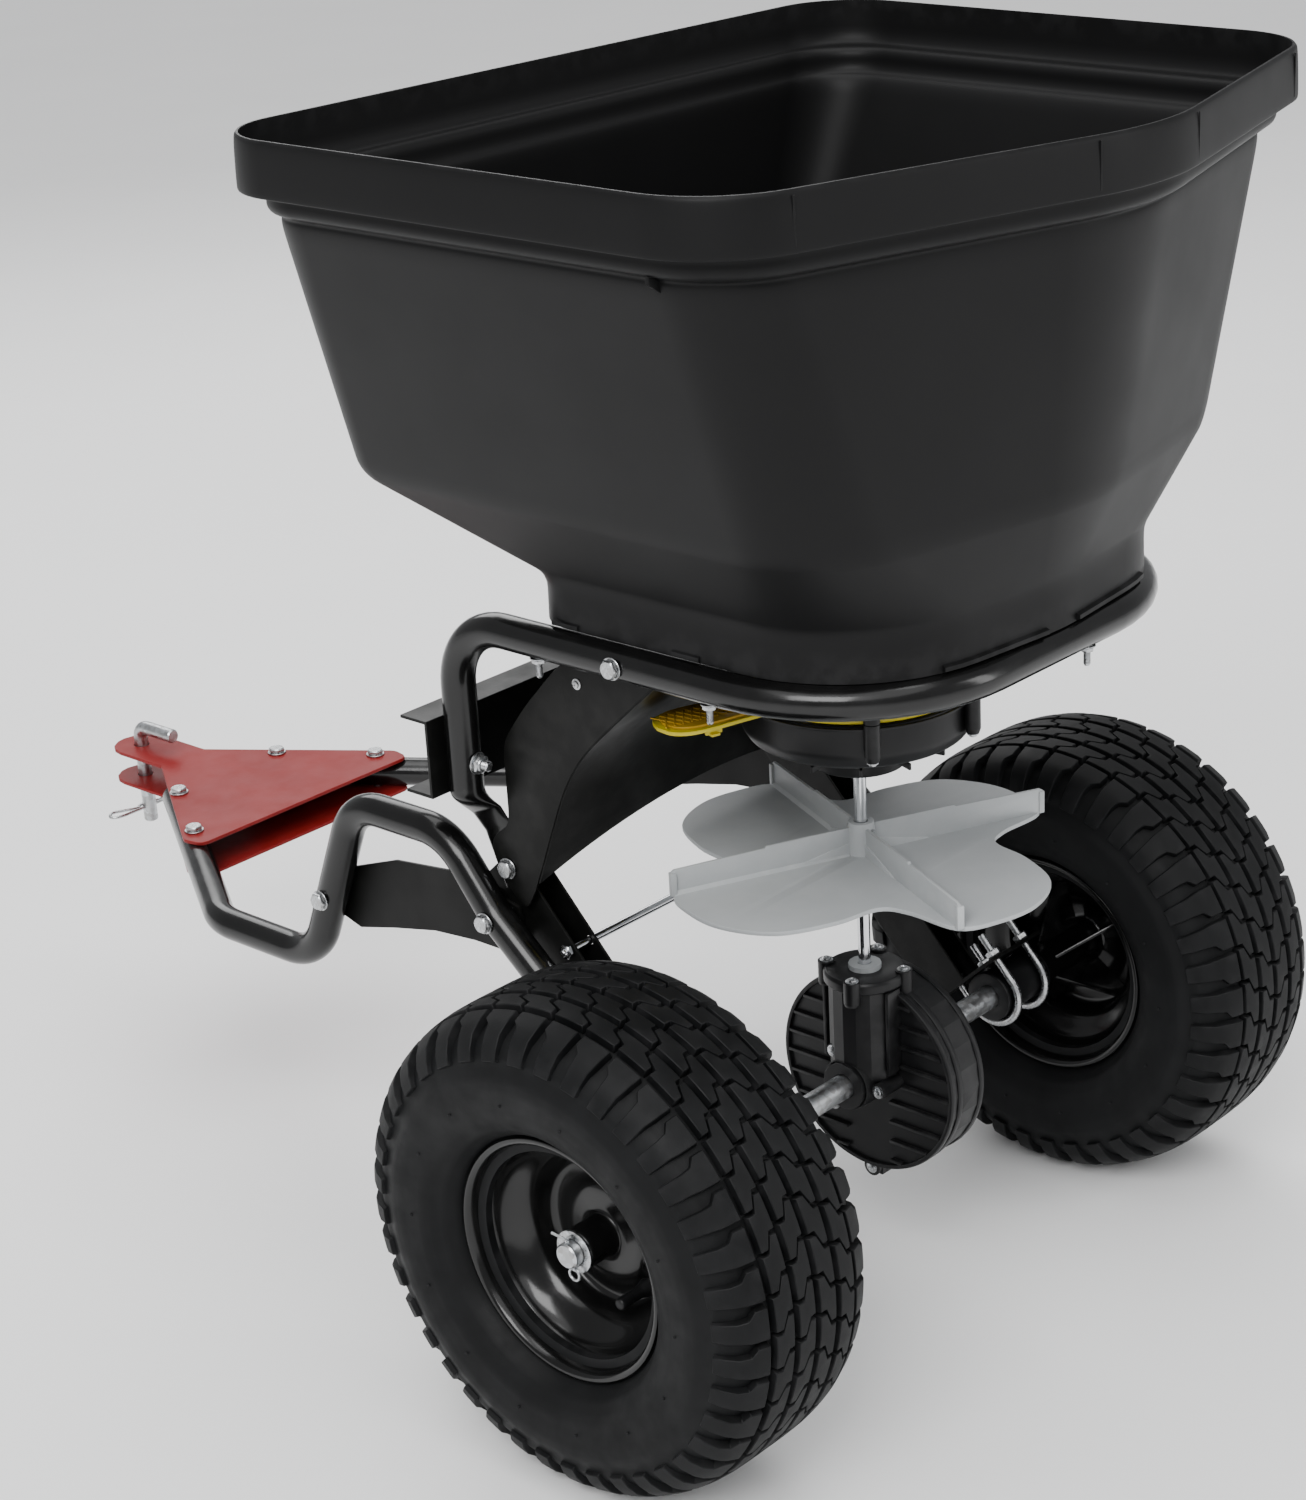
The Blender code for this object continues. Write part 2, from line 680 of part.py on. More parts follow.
def rim_profile():
    """Drop-centre rim, its dish and its hub in one turned section, outward side positive."""
    half = [(0.0915, 0.0550), (0.0915, 0.0522), (0.0790, 0.0495), (0.0765, 0.0460), (0.0755, 0.0300),
            (0.0600, 0.0200)]
    tyre_side = half + [(radius, -height) for radius, height in half[::-1]]
    inner_face = [(0.0770, -0.0530), (0.0730, -0.0480), (0.0722, -0.0320), (0.0570, -0.0210),
                  (0.0570, -0.0015), (0.0400, -0.0015), (0.0340, 0.0060), (HUB_RADIUS, 0.0060)]
    hub = [(HUB_RADIUS, HUB_IN), (AXLE_RADIUS + GAP, HUB_IN), (AXLE_RADIUS + GAP, HUB_OUT),
           (HUB_RADIUS, HUB_OUT)]
    outer_face = [(HUB_RADIUS, 0.0090), (0.0350, 0.0090), (0.0410, 0.0015), (0.0570, 0.0015),
                  (0.0570, 0.0210), (0.0722, 0.0320), (0.0730, 0.0480), (0.0770, 0.0530)]
    return tyre_side + inner_face + hub + outer_face


def cotter_path():
    """Bent tail, straight shank through the axle, and an open eye on top."""
    tail = [(-0.0085, 0.0000, -0.0175), (-0.0020, 0.0000, -0.0125), (0.0000, 0.0000, -0.0110)]
    eye_radius = 0.0032
    eye_middle = 0.0145
    eye = [(eye_radius * math.sin(angle), 0.0000, eye_middle - eye_radius * math.cos(angle))
           for angle in [math.radians(degrees) for degrees in range(0, 300, 45)]]
    return tail + eye


def make_wheels():
    tyre = turned_mesh(tyre_profile(), 24)
    rim = turned_mesh(rim_profile(), 16)
    washer = turned_mesh([(0.0160, 0.0010), (0.0160, -0.0010), (AXLE_RADIUS + GAP, -0.0010),
                          (AXLE_RADIUS + GAP, 0.0010)], 20)
    cotter = rod_mesh(cotter_path(), 0.0014)
    for name, side in SIDES.items():
        middle = (side * WHEEL_X, 0, AXLE_Z)
        finish_part(add_object("tyre_" + name, tyre.copy(), middle, outward(side)), "rubber")
        wheel = add_object("rim_" + name, rim.copy(), middle, outward(side))
        if name == "right":
            drill(wheel, (DRIVE_PIN_X, 0, AXLE_Z), "Z", 0.060, DRIVE_PIN_HOLE)
        finish_part(wheel, "black_paint")
        washer_x = side * (WHEEL_X + HUB_OUT + GAP + 0.0010)
        finish_part(add_object("washer_" + name, washer.copy(), (washer_x, 0, AXLE_Z),
                               outward(side)), "zinc")
        pin = add_object("cotter_pin_" + name, cotter.copy(), (side * COTTER_X, 0, AXLE_Z),
                         (0, 0, math.pi / 2))
        finish_part(pin, "zinc")


def make_axle_bearings():
    bearing = turned_mesh([(0.0200, 0.0285), (0.0200, -0.0285), (AXLE_RADIUS + GAP, -0.0285),
                           (AXLE_RADIUS + GAP, 0.0285)], 20)
    for name, side in SIDES.items():
        part = add_object("axle_bearing_" + name, bearing.copy(), (side * 0.1835, 0, AXLE_Z),
                          outward(side))
        finish_part(part, "black_plastic")


def u_bolt_mesh():
    """The bent rod with its two nuts, legs along +Z."""
    steps = 8
    bend = [(0, U_BOLT_REACH * math.cos(angle), -U_BOLT_REACH * math.sin(angle))
            for angle in [math.pi * step / steps for step in range(steps + 1)]]
    path = [(0, U_BOLT_REACH, 0.0440)] + bend + [(0, -U_BOLT_REACH, 0.0440)]
    rod = add_cutter("u_bolt_rod", rod_mesh(path, U_BOLT_WIRE))
    nut = cylinder_mesh(0.0060, 0.0055, 6)
    for side in SIDES.values():
        place = (0, side * U_BOLT_REACH, PLATE_HIGH + GAP + 0.00275)
        join(rod, add_cutter("u_bolt_nut", nut, place))
    depsgraph = bpy.context.evaluated_depsgraph_get()
    mesh = bpy.data.meshes.new_from_object(rod.evaluated_get(depsgraph))
    return mesh


def make_u_bolts():
    mesh = u_bolt_mesh()
    for name, side in SIDES.items():
        for place, reach in zip(("inner", "outer"), U_BOLT_X):
            part = add_object("u_bolt_" + name + "_" + place, mesh.copy(), (side * reach, 0, AXLE_Z),
                              (SLANT, 0, 0))
            finish_part(part, "zinc")


# ---------------------------------------------------------------- frame

def frame_loop_path():
    """From the left leg's foot, up, around under the hopper, and down the right leg."""
    left = Vector((-LOOP_X, *along_channel(0.2510, 0.0160)))
    right = Vector((LOOP_X, left.y, left.z))
    knee = Vector((-LOOP_X, LEG_Y, 0.425))
    flat = left.lerp(knee, 0.62)
    return bent_path([
        (left,),
        (flat, 0, 0),
        (knee, 0.060, 2),
        ((-LOOP_X, LEG_Y, LEG_PRESS_TOP + 0.012), 0, 0),
        ((-LOOP_X, LEG_Y, LOOP_Z), 0.050, 3),
        ((-LOOP_X, LOOP_REAR_Y, LOOP_Z), 0.125, 5),
        ((LOOP_X, LOOP_REAR_Y, LOOP_Z), 0.125, 5),
        ((LOOP_X, LEG_Y, LOOP_Z), 0.050, 3),
        ((LOOP_X, LEG_Y, LEG_PRESS_TOP + 0.012), 0, 0),
        ((LOOP_X, knee.y, knee.z), 0.060, 2),
        ((LOOP_X, flat.y, flat.z), 0, 0),
        (right,),
    ])


def frame_loop_rings(inset):
    """Eight-point sections of the loop, round in the loop and pressed flat at the legs' feet."""
    path = frame_loop_path()
    across = Vector((1, 0, 0))
    rings = []
    for index, point in enumerate(path):
        run = (path[min(index + 1, len(path) - 1)] - path[max(index - 1, 0)]).normalized()
        across = (across - run * across.dot(run)).normalized()
        pressed = min(1.0, max(0.0, (LEG_PRESS_TOP - point.z) / 0.026))
        half_across = TUBE_RADIUS + pressed * (LEG_PRESS_HALF - TUBE_RADIUS) - inset
        half_beside = TUBE_RADIUS + pressed * 0.0023 - inset
        shift = pressed * (math.copysign(LEG_PRESS_X, point.x) - point.x)
        centre = point + Vector((shift, 0, 0))
        beside = run.cross(across)
        rings.append([centre + across * half_across * math.cos(angle)
                      + beside * half_beside * math.sin(angle)
                      for angle in [math.tau * step / 8 for step in range(8)]])
    return rings


def make_frame_loop():
    """One bent tube under the hopper, whose two legs end pressed flat."""
    rings = frame_loop_rings(0) + frame_loop_rings(TUBE_WALL)[::-1]
    loop = add_object("frame_loop", loft_mesh(rings, closed=True))
    for side in SIDES.values():
        drill(loop, (side * LOOP_X, LEG_Y, CROSS_BOLT_Z), "Y", 0.040, BOLT_HOLE)
        drill(loop, (side * LOOP_X, SHIELD_BOLT_Y, LOOP_Z), "X", 0.040, BOLT_HOLE)
        drill(loop, (side * LEG_PRESS_X, *LEG_BOLT), "X", 0.020, BOLT_HOLE)
    finish_part(loop, "black_paint")


def make_cross_channel():
    """The pressed channel across the front of the legs, open to the front."""
    low, high, front, wall = 0.4300, 0.4900, 0.2500, CROSS_CHANNEL_WALL
    back = LEG_Y + TUBE_RADIUS + GAP
    outline = [(back, low), (front, low), (front, low + wall), (back + wall, low + wall),
               (back + wall, high - wall), (front, high - wall), (front, high), (back, high)]
    channel = add_object("cross_channel", plate_mesh(outline, 0.4300), (0, 0, 0), YZ_PLATE)
    for side in SIDES.values():
        drill(channel, (side * LOOP_X, back, CROSS_BOLT_Z), "Y", 0.020, BOLT_HOLE)
    finish_part(channel, "black_sheet")


def make_leg_channels():
    """The slanted U channels between the axle bearings and the frame, open to the rear."""
    rear, front, run = 0.0060, 0.0500, 0.2750
    for name, side in SIDES.items():
        middle = (CHANNEL_IN + CHANNEL_OUT) / 2
        half = (CHANNEL_OUT - CHANNEL_IN) / 2
        section = [(-half, rear), (-half, front), (half, front), (half, rear), (half - SHEET, rear),
                   (half - SHEET, front - SHEET), (SHEET - half, front - SHEET), (SHEET - half, rear)]
        start = PLATE_LOW + 0.001
        length = run - start
        channel = add_object("leg_channel_" + name, plate_mesh(section, length),
                             (side * middle, 0, AXLE_Z), (SLANT, 0, 0))
        for vertex in channel.data.vertices:
            vertex.co.z += start + length / 2
        low_x, high_x = CHANNEL_IN - middle, 0.2130 - middle
        if side < 0:
            low_x, high_x = -high_x, -low_x
        holes = [circle((side * (reach - middle), offset * U_BOLT_REACH), U_BOLT_WIRE + 0.0005, 10)
                 for reach in U_BOLT_X for offset in (-1, 1)]
        outline = [(low_x, -0.0330), (high_x, -0.0330), (high_x, 0.0500), (low_x, 0.0500)]
        foot = plate_mesh(outline, PLATE_HIGH - PLATE_LOW, holes)
        for vertex in foot.vertices:
            vertex.co.z += (PLATE_LOW + PLATE_HIGH) / 2
        join(channel, add_cutter("leg_channel_foot", foot, (side * middle, 0, AXLE_Z), (SLANT, 0, 0)))
        for place in (LEG_BOLT, TUBE_BOLT):
            drill(channel, (side * (CHANNEL_OUT - SHEET / 2), *place), "X", 0.006, BOLT_HOLE)
        drill(channel, (side * middle, *CROSS_ROD), "X", 0.040, CROSS_ROD_RADIUS + 0.0005)
        finish_part(channel, "black_sheet")


def make_cross_rod():
    """The plain rod across the two leg channels, nutted outside each."""
    half_grip = CHANNEL_OUT + GAP
    radius, nut, nut_height, tail = CROSS_ROD_RADIUS, 0.0058, 0.0045, 0.0030
    ends = half_grip + nut_height
    rings = [
        hexagon(radius, -ends - tail), hexagon(radius, -ends),
        hexagon(nut, -ends), hexagon(nut, -half_grip),
        hexagon(radius, -half_grip), hexagon(radius, half_grip),
        hexagon(nut, half_grip), hexagon(nut, ends),
        hexagon(radius, ends), hexagon(radius, ends + tail),
    ]
    rod = add_object("cross_rod", loft_mesh(rings, closed=False), (0, *CROSS_ROD),
                     (0, math.pi / 2, 0))
    finish_part(rod, "zinc")


def shield_profile():
    """The shield's curve in the YZ plane, from its upper edge down."""
    return [(0.0160, 0.5615), (0.0620, 0.5205), (0.1030, 0.4815), (0.1250, 0.4495), (0.1400, 0.4155),
            (0.1490, 0.3930), (0.1600, 0.3645)]


def offset_line(points, distance):
    """A polyline moved sideways by a distance, to the right of its run."""
    moved = []
    for index, (y, z) in enumerate(points):
        before = points[max(index - 1, 0)]
        after = points[min(index + 1, len(points) - 1)]
        run = Vector((after[0] - before[0], after[1] - before[1])).normalized()
        moved.append((y + run.y * distance, z - run.x * distance))
    return moved


def make_shield():
    """Curved sheet behind the legs, its ends bent forward as crescent flanges."""
    curve = shield_profile()
    behind = offset_line(curve, 0.0020)
    width = 2 * SHIELD_OUT - 0.0020
    sheet = add_object("shield", plate_mesh(curve + behind[::-1], width), (0, 0, 0), YZ_PLATE)
    arch_radius = 0.495
    arch = cylinder_mesh(arch_radius, 0.160, 96)
    cut(sheet, add_cutter("shield_arch", arch, (0, 0.150, 0.400 - arch_radius), (math.pi / 2, 0, 0)))
    cut(sheet, add_cutter("shield_throat", cylinder_mesh(0.100, 0.160, 32), (0, 0, 0.530)))
    toe = [(0.1615, 0.3600), (0.1727, 0.3400), (0.1950, 0.3640), (0.2030, 0.3820), (0.2010, 0.3950)]
    front = [(0.1835, 0.4060), (0.1835, 0.4720), (0.1597, 0.5034), (0.1227, 0.5430)]
    top = [(0.0900, 0.5640), (0.0600, 0.5735), (0.0300, 0.5735), (0.0130, 0.5630)]
    crescent = offset_line(curve, 0.0010)[1:-1] + toe + front + top
    flange = plate_mesh(crescent, SHIELD_OUT - SHIELD_IN)
    for side in SIDES.values():
        place = (side * (SHIELD_IN + SHIELD_OUT) / 2, 0, 0)
        join(sheet, add_cutter("shield_flange", flange, place, YZ_PLATE))
        drill(sheet, (place[0], *LEG_BOLT), "X", 0.010, BOLT_HOLE)
        drill(sheet, (place[0], SHIELD_BOLT_Y, LOOP_Z), "X", 0.010, BOLT_HOLE)
    finish_part(sheet, "black_sheet")


# ---------------------------------------------------------------- tow tubes and hitch

def tow_path(side):
    """One tow tube, from between the hitch plates back over its hump to the leg channel."""
    x = side * TOW_X
    return bent_path([
        ((side * 0.0410, 0.7500, TOW_Z),),
        ((x, 0.5155, TOW_Z), 0.060, 3),
        ((x, 0.4000, TOW_Z), 0.046, 3),
        ((x, 0.3380, 0.3910), 0.042, 4),
        ((x, 0.2375, 0.3910), 0.050, 3),
        ((x, 0.1945, 0.3370), 0.060, 1),
        ((x, 0.0533, 0.2174),),
    ])


def make_tow_tubes():
    for name, side in SIDES.items():
        tube = add_object("tow_tube_" + name, tube_mesh(tow_path(side)))
        for x, y in HITCH_BOLTS.values():
            drill(tube, (side * x, y, TOW_Z), "Z", 0.040, BOLT_HOLE)
        for place in (TUBE_BOLT, GUSSET_BOLT):
            drill(tube, (side * TOW_X, *place), "X", 0.040, BOLT_HOLE)
        finish_part(tube, "black_paint")


def make_tow_gussets():
    """Arched plates inside the humps of the tow tubes."""
    top = [(0.2000, 0.3440), (0.2530, 0.3520), (0.3130, 0.3450), (0.3600, 0.3280)]
    nose = [(0.3860, 0.3150), (0.3900, 0.2980), (0.3800, 0.2820)]
    bottom = [(0.3600, 0.2760), (0.3210, 0.2860), (0.2760, 0.2960), (0.2320, 0.3000), (0.1850, 0.3000)]
    tail = [(0.1780, 0.3200), (0.1830, 0.3405)]
    holes = [circle(place, BOLT_HOLE, 10) for place in (TUBE_BOLT, GUSSET_BOLT)]
    for name, side in SIDES.items():
        plate = plate_mesh(top + nose + bottom + tail, GUSSET_OUT - GUSSET_IN, holes)
        middle = side * (GUSSET_IN + GUSSET_OUT) / 2
        gusset = add_object("tow_gusset_" + name, plate, (middle, 0, 0), YZ_PLATE)
        finish_part(gusset, "black_sheet")


def hitch_outline():
    wide, narrow = 0.1235, 0.0250
    tip = [(narrow * math.cos(angle), HITCH_HOLE_Y + narrow * math.sin(angle))
           for angle in [math.pi * step / 8 for step in range(9)]]
    rear = rounded_outline([((-narrow, 0.788), 0, 0), ((-wide, 0.640), 0.010, 2),
                            ((-wide + 0.004, 0.620), 0.008, 2), ((wide - 0.004, 0.620), 0.008, 2),
                            ((wide, 0.640), 0.010, 2), ((narrow, 0.788), 0, 0)])
    return tip + rear


def make_hitch():
    holes = [circle((0, HITCH_HOLE_Y), HITCH_PIN_RADIUS + 0.0006, 14)]
    for x, y in HITCH_BOLTS.values():
        holes += [circle((side * x, y), BOLT_HOLE, 10) for side in SIDES.values()]
    for name, (low, high) in (("top", HITCH_TOP), ("bottom", HITCH_BOTTOM)):
        plate = add_object("hitch_plate_" + name, plate_mesh(hitch_outline(), high - low, holes),
                           (0, 0, (low + high) / 2))
        finish_part(plate, "red_paint")


def make_hitch_pin():
    """L-shaped pin through the tongue, kept by a hairpin below the plates."""
    top = 0.2790
    path = bent_path([((0, HITCH_HOLE_Y, 0.1860),), ((0, HITCH_HOLE_Y, top), 0.011, 4),
                      ((0, HITCH_HOLE_Y - 0.0480, top),)])
    pin = add_object("hitch_pin", rod_mesh(path, HITCH_PIN_RADIUS, resolution=4))
    drill(pin, (0, HITCH_HOLE_Y, 0.2000), "X", 0.030, 0.0021)
    finish_part(pin, "zinc")
    wire = 0.0014
    clear = HITCH_PIN_RADIUS + wire + GAP
    path = [(0.0200, 0, 0), (-0.0300, 0, 0), (-0.0370, 0.0020, 0), (-0.0400, 0.0065, 0),
            (-0.0370, 0.0110, 0), (-0.0300, 0.0130, 0), (-0.0120, 0.0040, 0), (-0.0070, 0.0065, 0),
            (0.0000, clear + 0.0004, 0), (0.0070, 0.0065, 0), (0.0150, 0.0040, 0), (0.0220, 0.0060, 0)]
    hairpin = add_object("hitch_hairpin", rod_mesh(path, wire), (0, HITCH_HOLE_Y, 0.2000))
    finish_part(hairpin, "zinc")


def make_bolts():
    tube_out = TOW_X + TUBE_RADIUS
    channel_face = CHANNEL_OUT - SHEET
    loop_out = LOOP_X + TUBE_RADIUS
    web = LEG_Y + TUBE_RADIUS + GAP + CROSS_CHANNEL_WALL
    for name, side in SIDES.items():
        inward = (-side, 0, 0)
        for place, (x, y) in HITCH_BOLTS.items():
            add_bolt("hitch_bolt_" + place + "_" + name, (side * x, y, HITCH_TOP[1]), (0, 0, -1),
                     HITCH_TOP[1] - HITCH_BOTTOM[0])
        add_bolt("gusset_bolt_" + name, (side * tube_out, *GUSSET_BOLT), inward,
                 tube_out - GUSSET_IN)
        add_bolt("tow_bolt_" + name, (side * tube_out, *TUBE_BOLT), inward,
                 tube_out - channel_face, tail=0.003)
        add_bolt("leg_bolt_" + name, (side * SHIELD_OUT, *LEG_BOLT), inward,
                 SHIELD_OUT - channel_face, tail=0.003)
        add_bolt("cross_channel_bolt_" + name, (side * LOOP_X, web, CROSS_BOLT_Z), (0, -1, 0),
                 web - LEG_Y + TUBE_RADIUS)
        add_bolt("shield_bolt_" + name, (side * loop_out, SHIELD_BOLT_Y, LOOP_Z), inward,
                 loop_out - SHIELD_IN)


clear_scene()
PARTS = new_collection("tow_behind_spreader")
CUTTERS = new_collection("cutters")
BASE = bpy.data.objects.new("axle_line", None)
PARTS.objects.link(BASE)
BASE.location = (0, AXLE_Y, 0)

make_hopper()
make_outlet_ring()
make_rate_scale()
make_gate()
make_gate_housing()
make_impeller()
make_impeller_shaft()
make_agitator()
make_gears()
make_gearbox()
make_axle()
make_wheels()
make_axle_bearings()
make_u_bolts()
make_frame_loop()
make_cross_channel()
make_leg_channels()
make_cross_rod()
make_shield()
make_tow_tubes()
make_tow_gussets()
make_hitch()
make_hitch_pin()
make_bolts()
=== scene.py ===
"""Looks of the tow-behind broadcast spreader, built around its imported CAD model.

Metres, +Z up, +Y towards the hitch, -X is the left side.  Shapes are written from the foot of the
axle, and LINE carries them to the frame's own origin.
"""

import math

import bmesh
import bpy
import numpy as np
from mathutils import Matrix, Vector


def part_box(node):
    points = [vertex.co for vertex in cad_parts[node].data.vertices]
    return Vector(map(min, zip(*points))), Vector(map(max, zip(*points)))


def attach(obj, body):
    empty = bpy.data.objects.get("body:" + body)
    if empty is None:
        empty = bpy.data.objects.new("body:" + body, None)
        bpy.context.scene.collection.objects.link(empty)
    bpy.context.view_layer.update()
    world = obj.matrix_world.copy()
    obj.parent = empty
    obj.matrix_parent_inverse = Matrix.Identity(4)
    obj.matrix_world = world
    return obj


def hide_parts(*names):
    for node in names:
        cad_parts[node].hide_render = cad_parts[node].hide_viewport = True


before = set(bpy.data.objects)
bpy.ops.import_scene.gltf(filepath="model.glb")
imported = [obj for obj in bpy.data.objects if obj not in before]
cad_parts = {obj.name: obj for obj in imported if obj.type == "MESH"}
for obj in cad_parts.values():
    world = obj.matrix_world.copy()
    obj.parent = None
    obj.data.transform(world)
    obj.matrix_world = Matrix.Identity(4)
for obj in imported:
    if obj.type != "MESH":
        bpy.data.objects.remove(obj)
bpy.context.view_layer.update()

AXLE = (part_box("axle")[0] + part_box("axle")[1]) / 2
LINE = Vector((0, AXLE.y, 0))
AXLE_Z = AXLE.z
SIDES = {"left": -1, "right": 1}
SLANT = math.radians(-42.8)                             # about X, lays local Z along the leg channels
STAND = Matrix.Rotation(math.pi / 2, 4, "X")            # turns local Y upward
FLIP = Matrix.Rotation(math.pi, 4, "X")                 # turns local Z downward
TO_RIGHT = Matrix.Rotation(math.pi / 2, 4, "Y")         # lays local Z towards +X
TO_LEFT = Matrix.Rotation(-math.pi / 2, 4, "Y")
OUTWARD = {-1: TO_LEFT, 1: TO_RIGHT}                    # by side
YZ_PLATE = Matrix.Rotation(math.pi / 2, 4, "Z") @ STAND
SKIN = 0.0003                                           # how far trim stands clear of what it sits on


def spot(node):
    """The middle of a CAD node, from the foot of the axle."""
    low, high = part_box(node)
    return (low + high) / 2 - LINE


def extent(node):
    low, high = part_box(node)
    return high - low


def at(*place):
    return Matrix.Translation(place)


def spin(axis, angle):
    return Matrix.Rotation(angle, 4, axis)


def placed(name, data):
    """A new object in the scene."""
    item = bpy.data.objects.new(name, data)
    bpy.context.scene.collection.objects.link(item)
    return item


# ---------------- camera, light and floor

CAMERA_PLACE = Vector((-1.5877, -1.2886, 1.2693))
CAMERA_ANGLES = (49.344, 24.0045, -2.2539)     # yaw, pitch and roll, in degrees
LENS = 72.79
SENSOR_WIDTH = 36
SHIFT = (-0.0880, 0.0770)
LIT_SPOT = Vector((0, 0.10, 0.45))


def make_camera():
    yaw, pitch, roll = (math.radians(angle) for angle in CAMERA_ANGLES)
    ahead = Vector((math.sin(yaw) * math.cos(pitch), math.cos(yaw) * math.cos(pitch), -math.sin(pitch)))
    right = Vector((math.cos(yaw), -math.sin(yaw), 0))
    up = right.cross(ahead)
    right_rolled = math.cos(roll) * right + math.sin(roll) * up
    up_rolled = math.cos(roll) * up - math.sin(roll) * right
    turn = Matrix((right_rolled, up_rolled, -ahead)).transposed().to_4x4()
    data = bpy.data.cameras.new("camera")
    data.lens = LENS
    data.sensor_width = SENSOR_WIDTH
    data.shift_x, data.shift_y = SHIFT
    camera = placed("camera", data)
    camera.matrix_world = at(*(LINE + CAMERA_PLACE)) @ turn
    bpy.context.scene.camera = camera


def add_light(name, place, size, power):
    data = bpy.data.lights.new(name, "AREA")
    data.shape = "RECTANGLE"
    data.size, data.size_y = size
    data.energy = power
    light = placed(name, data)
    light.location = LINE + Vector(place)
    light.rotation_euler = (LIT_SPOT - Vector(place)).to_track_quat("-Z", "Y").to_euler()


def make_studio():
    """Four lamps, a wide soft sun, a pale surround and a floor that runs to the horizon."""
    add_light("key", (-3.0, -1.2, 3.0), (2.2, 1.8), 110)
    add_light("top", (0.3, 0.4, 3.6), (3.0, 3.0), 70)
    add_light("strip", (1.8, -3.2, 1.7), (0.8, 2.4), 35)
    add_light("back", (1.8, 3.0, 2.4), (2.5, 1.5), 50)
    sky = bpy.data.lights.new("sky", "SUN")
    sky.energy = 1.6
    sky.angle = math.radians(70)
    placed("sky", sky).rotation_euler = (math.radians(18), math.radians(-22), 0)
    world = bpy.data.worlds.new("studio")
    bpy.context.scene.world = world
    world.use_nodes = True
    background = world.node_tree.nodes["Background"]
    background.inputs["Color"].default_value = (0.97, 0.98, 1.0, 1)
    background.inputs["Strength"].default_value = 0.45
    bpy.ops.mesh.primitive_plane_add(size=400, location=(0, 0, -0.0005))
    floor = bpy.context.object
    floor.name = "floor"
    floor.data.materials.append(LOOKS["floor"])


# ---------------- materials

LOOKS = {}
SLOTS = {"black_moulding": "black_plastic", "amber_plastic": "yellow_plastic", "ink": "white_print",
         "zinc_axle": "zinc"}
DUST = (0.34, 0.33, 0.31)
STAIN = (0.30, 0.29, 0.26)


class Nodes:
    """Short hand for building one material's node tree."""

    def __init__(self, name):
        self.material = bpy.data.materials.new(name)
        self.material.use_nodes = True
        self.tree = self.material.node_tree
        self.shader = self.tree.nodes["Principled BSDF"]
        self.place = self.add("ShaderNodeTexCoord").outputs["Object"]

    def add(self, kind, **inputs):
        node = self.tree.nodes.new(kind)
        for key, value in inputs.items():
            node.inputs[key.replace("_", " ")].default_value = value
        return node

    def link(self, source, target):
        self.tree.links.new(source, target)

    def noise(self, scale, detail=3.0, roughness=0.55):
        node = self.add("ShaderNodeTexNoise", Scale=scale, Detail=detail, Roughness=roughness)
        self.link(self.place, node.inputs["Vector"])
        return node.outputs["Fac"]

    def cells(self, scale):
        node = self.add("ShaderNodeTexVoronoi", Scale=scale)
        self.link(self.place, node.inputs["Vector"])
        return node.outputs["Color"]

    def spread(self, source, low, high, to_low, to_high):
        node = self.add("ShaderNodeMapRange", From_Min=low, From_Max=high, To_Min=to_low, To_Max=to_high)
        self.link(source, node.inputs["Value"])
        return node.outputs["Result"]

    def times(self, first, second):
        node = self.add("ShaderNodeMath")
        node.operation = "MULTIPLY"
        self.link(first, node.inputs[0])
        self.link(second, node.inputs[1])
        return node.outputs[0]

    def blend(self, share, first, second):
        """A colour between two; each is a colour or another node's output."""
        node = self.tree.nodes.new("ShaderNodeMix")
        node.data_type = "RGBA"
        self.link(share, node.inputs[0])
        for socket, colour in ((node.inputs[6], first), (node.inputs[7], second)):
            if isinstance(colour, bpy.types.NodeSocket):
                self.link(colour, socket)
            else:
                socket.default_value = (*colour, 1)
        return node.outputs[2]

    def bump(self, heights):
        """A chain of bumps; heights is a list of (output, depth in metres)."""
        normal = None
        for output, depth in heights:
            node = self.add("ShaderNodeBump", Strength=0.7, Distance=depth)
            self.link(output, node.inputs["Height"])
            if normal is not None:
                self.link(normal, node.inputs["Normal"])
            normal = node.outputs["Normal"]
        self.link(normal, self.shader.inputs["Normal"])


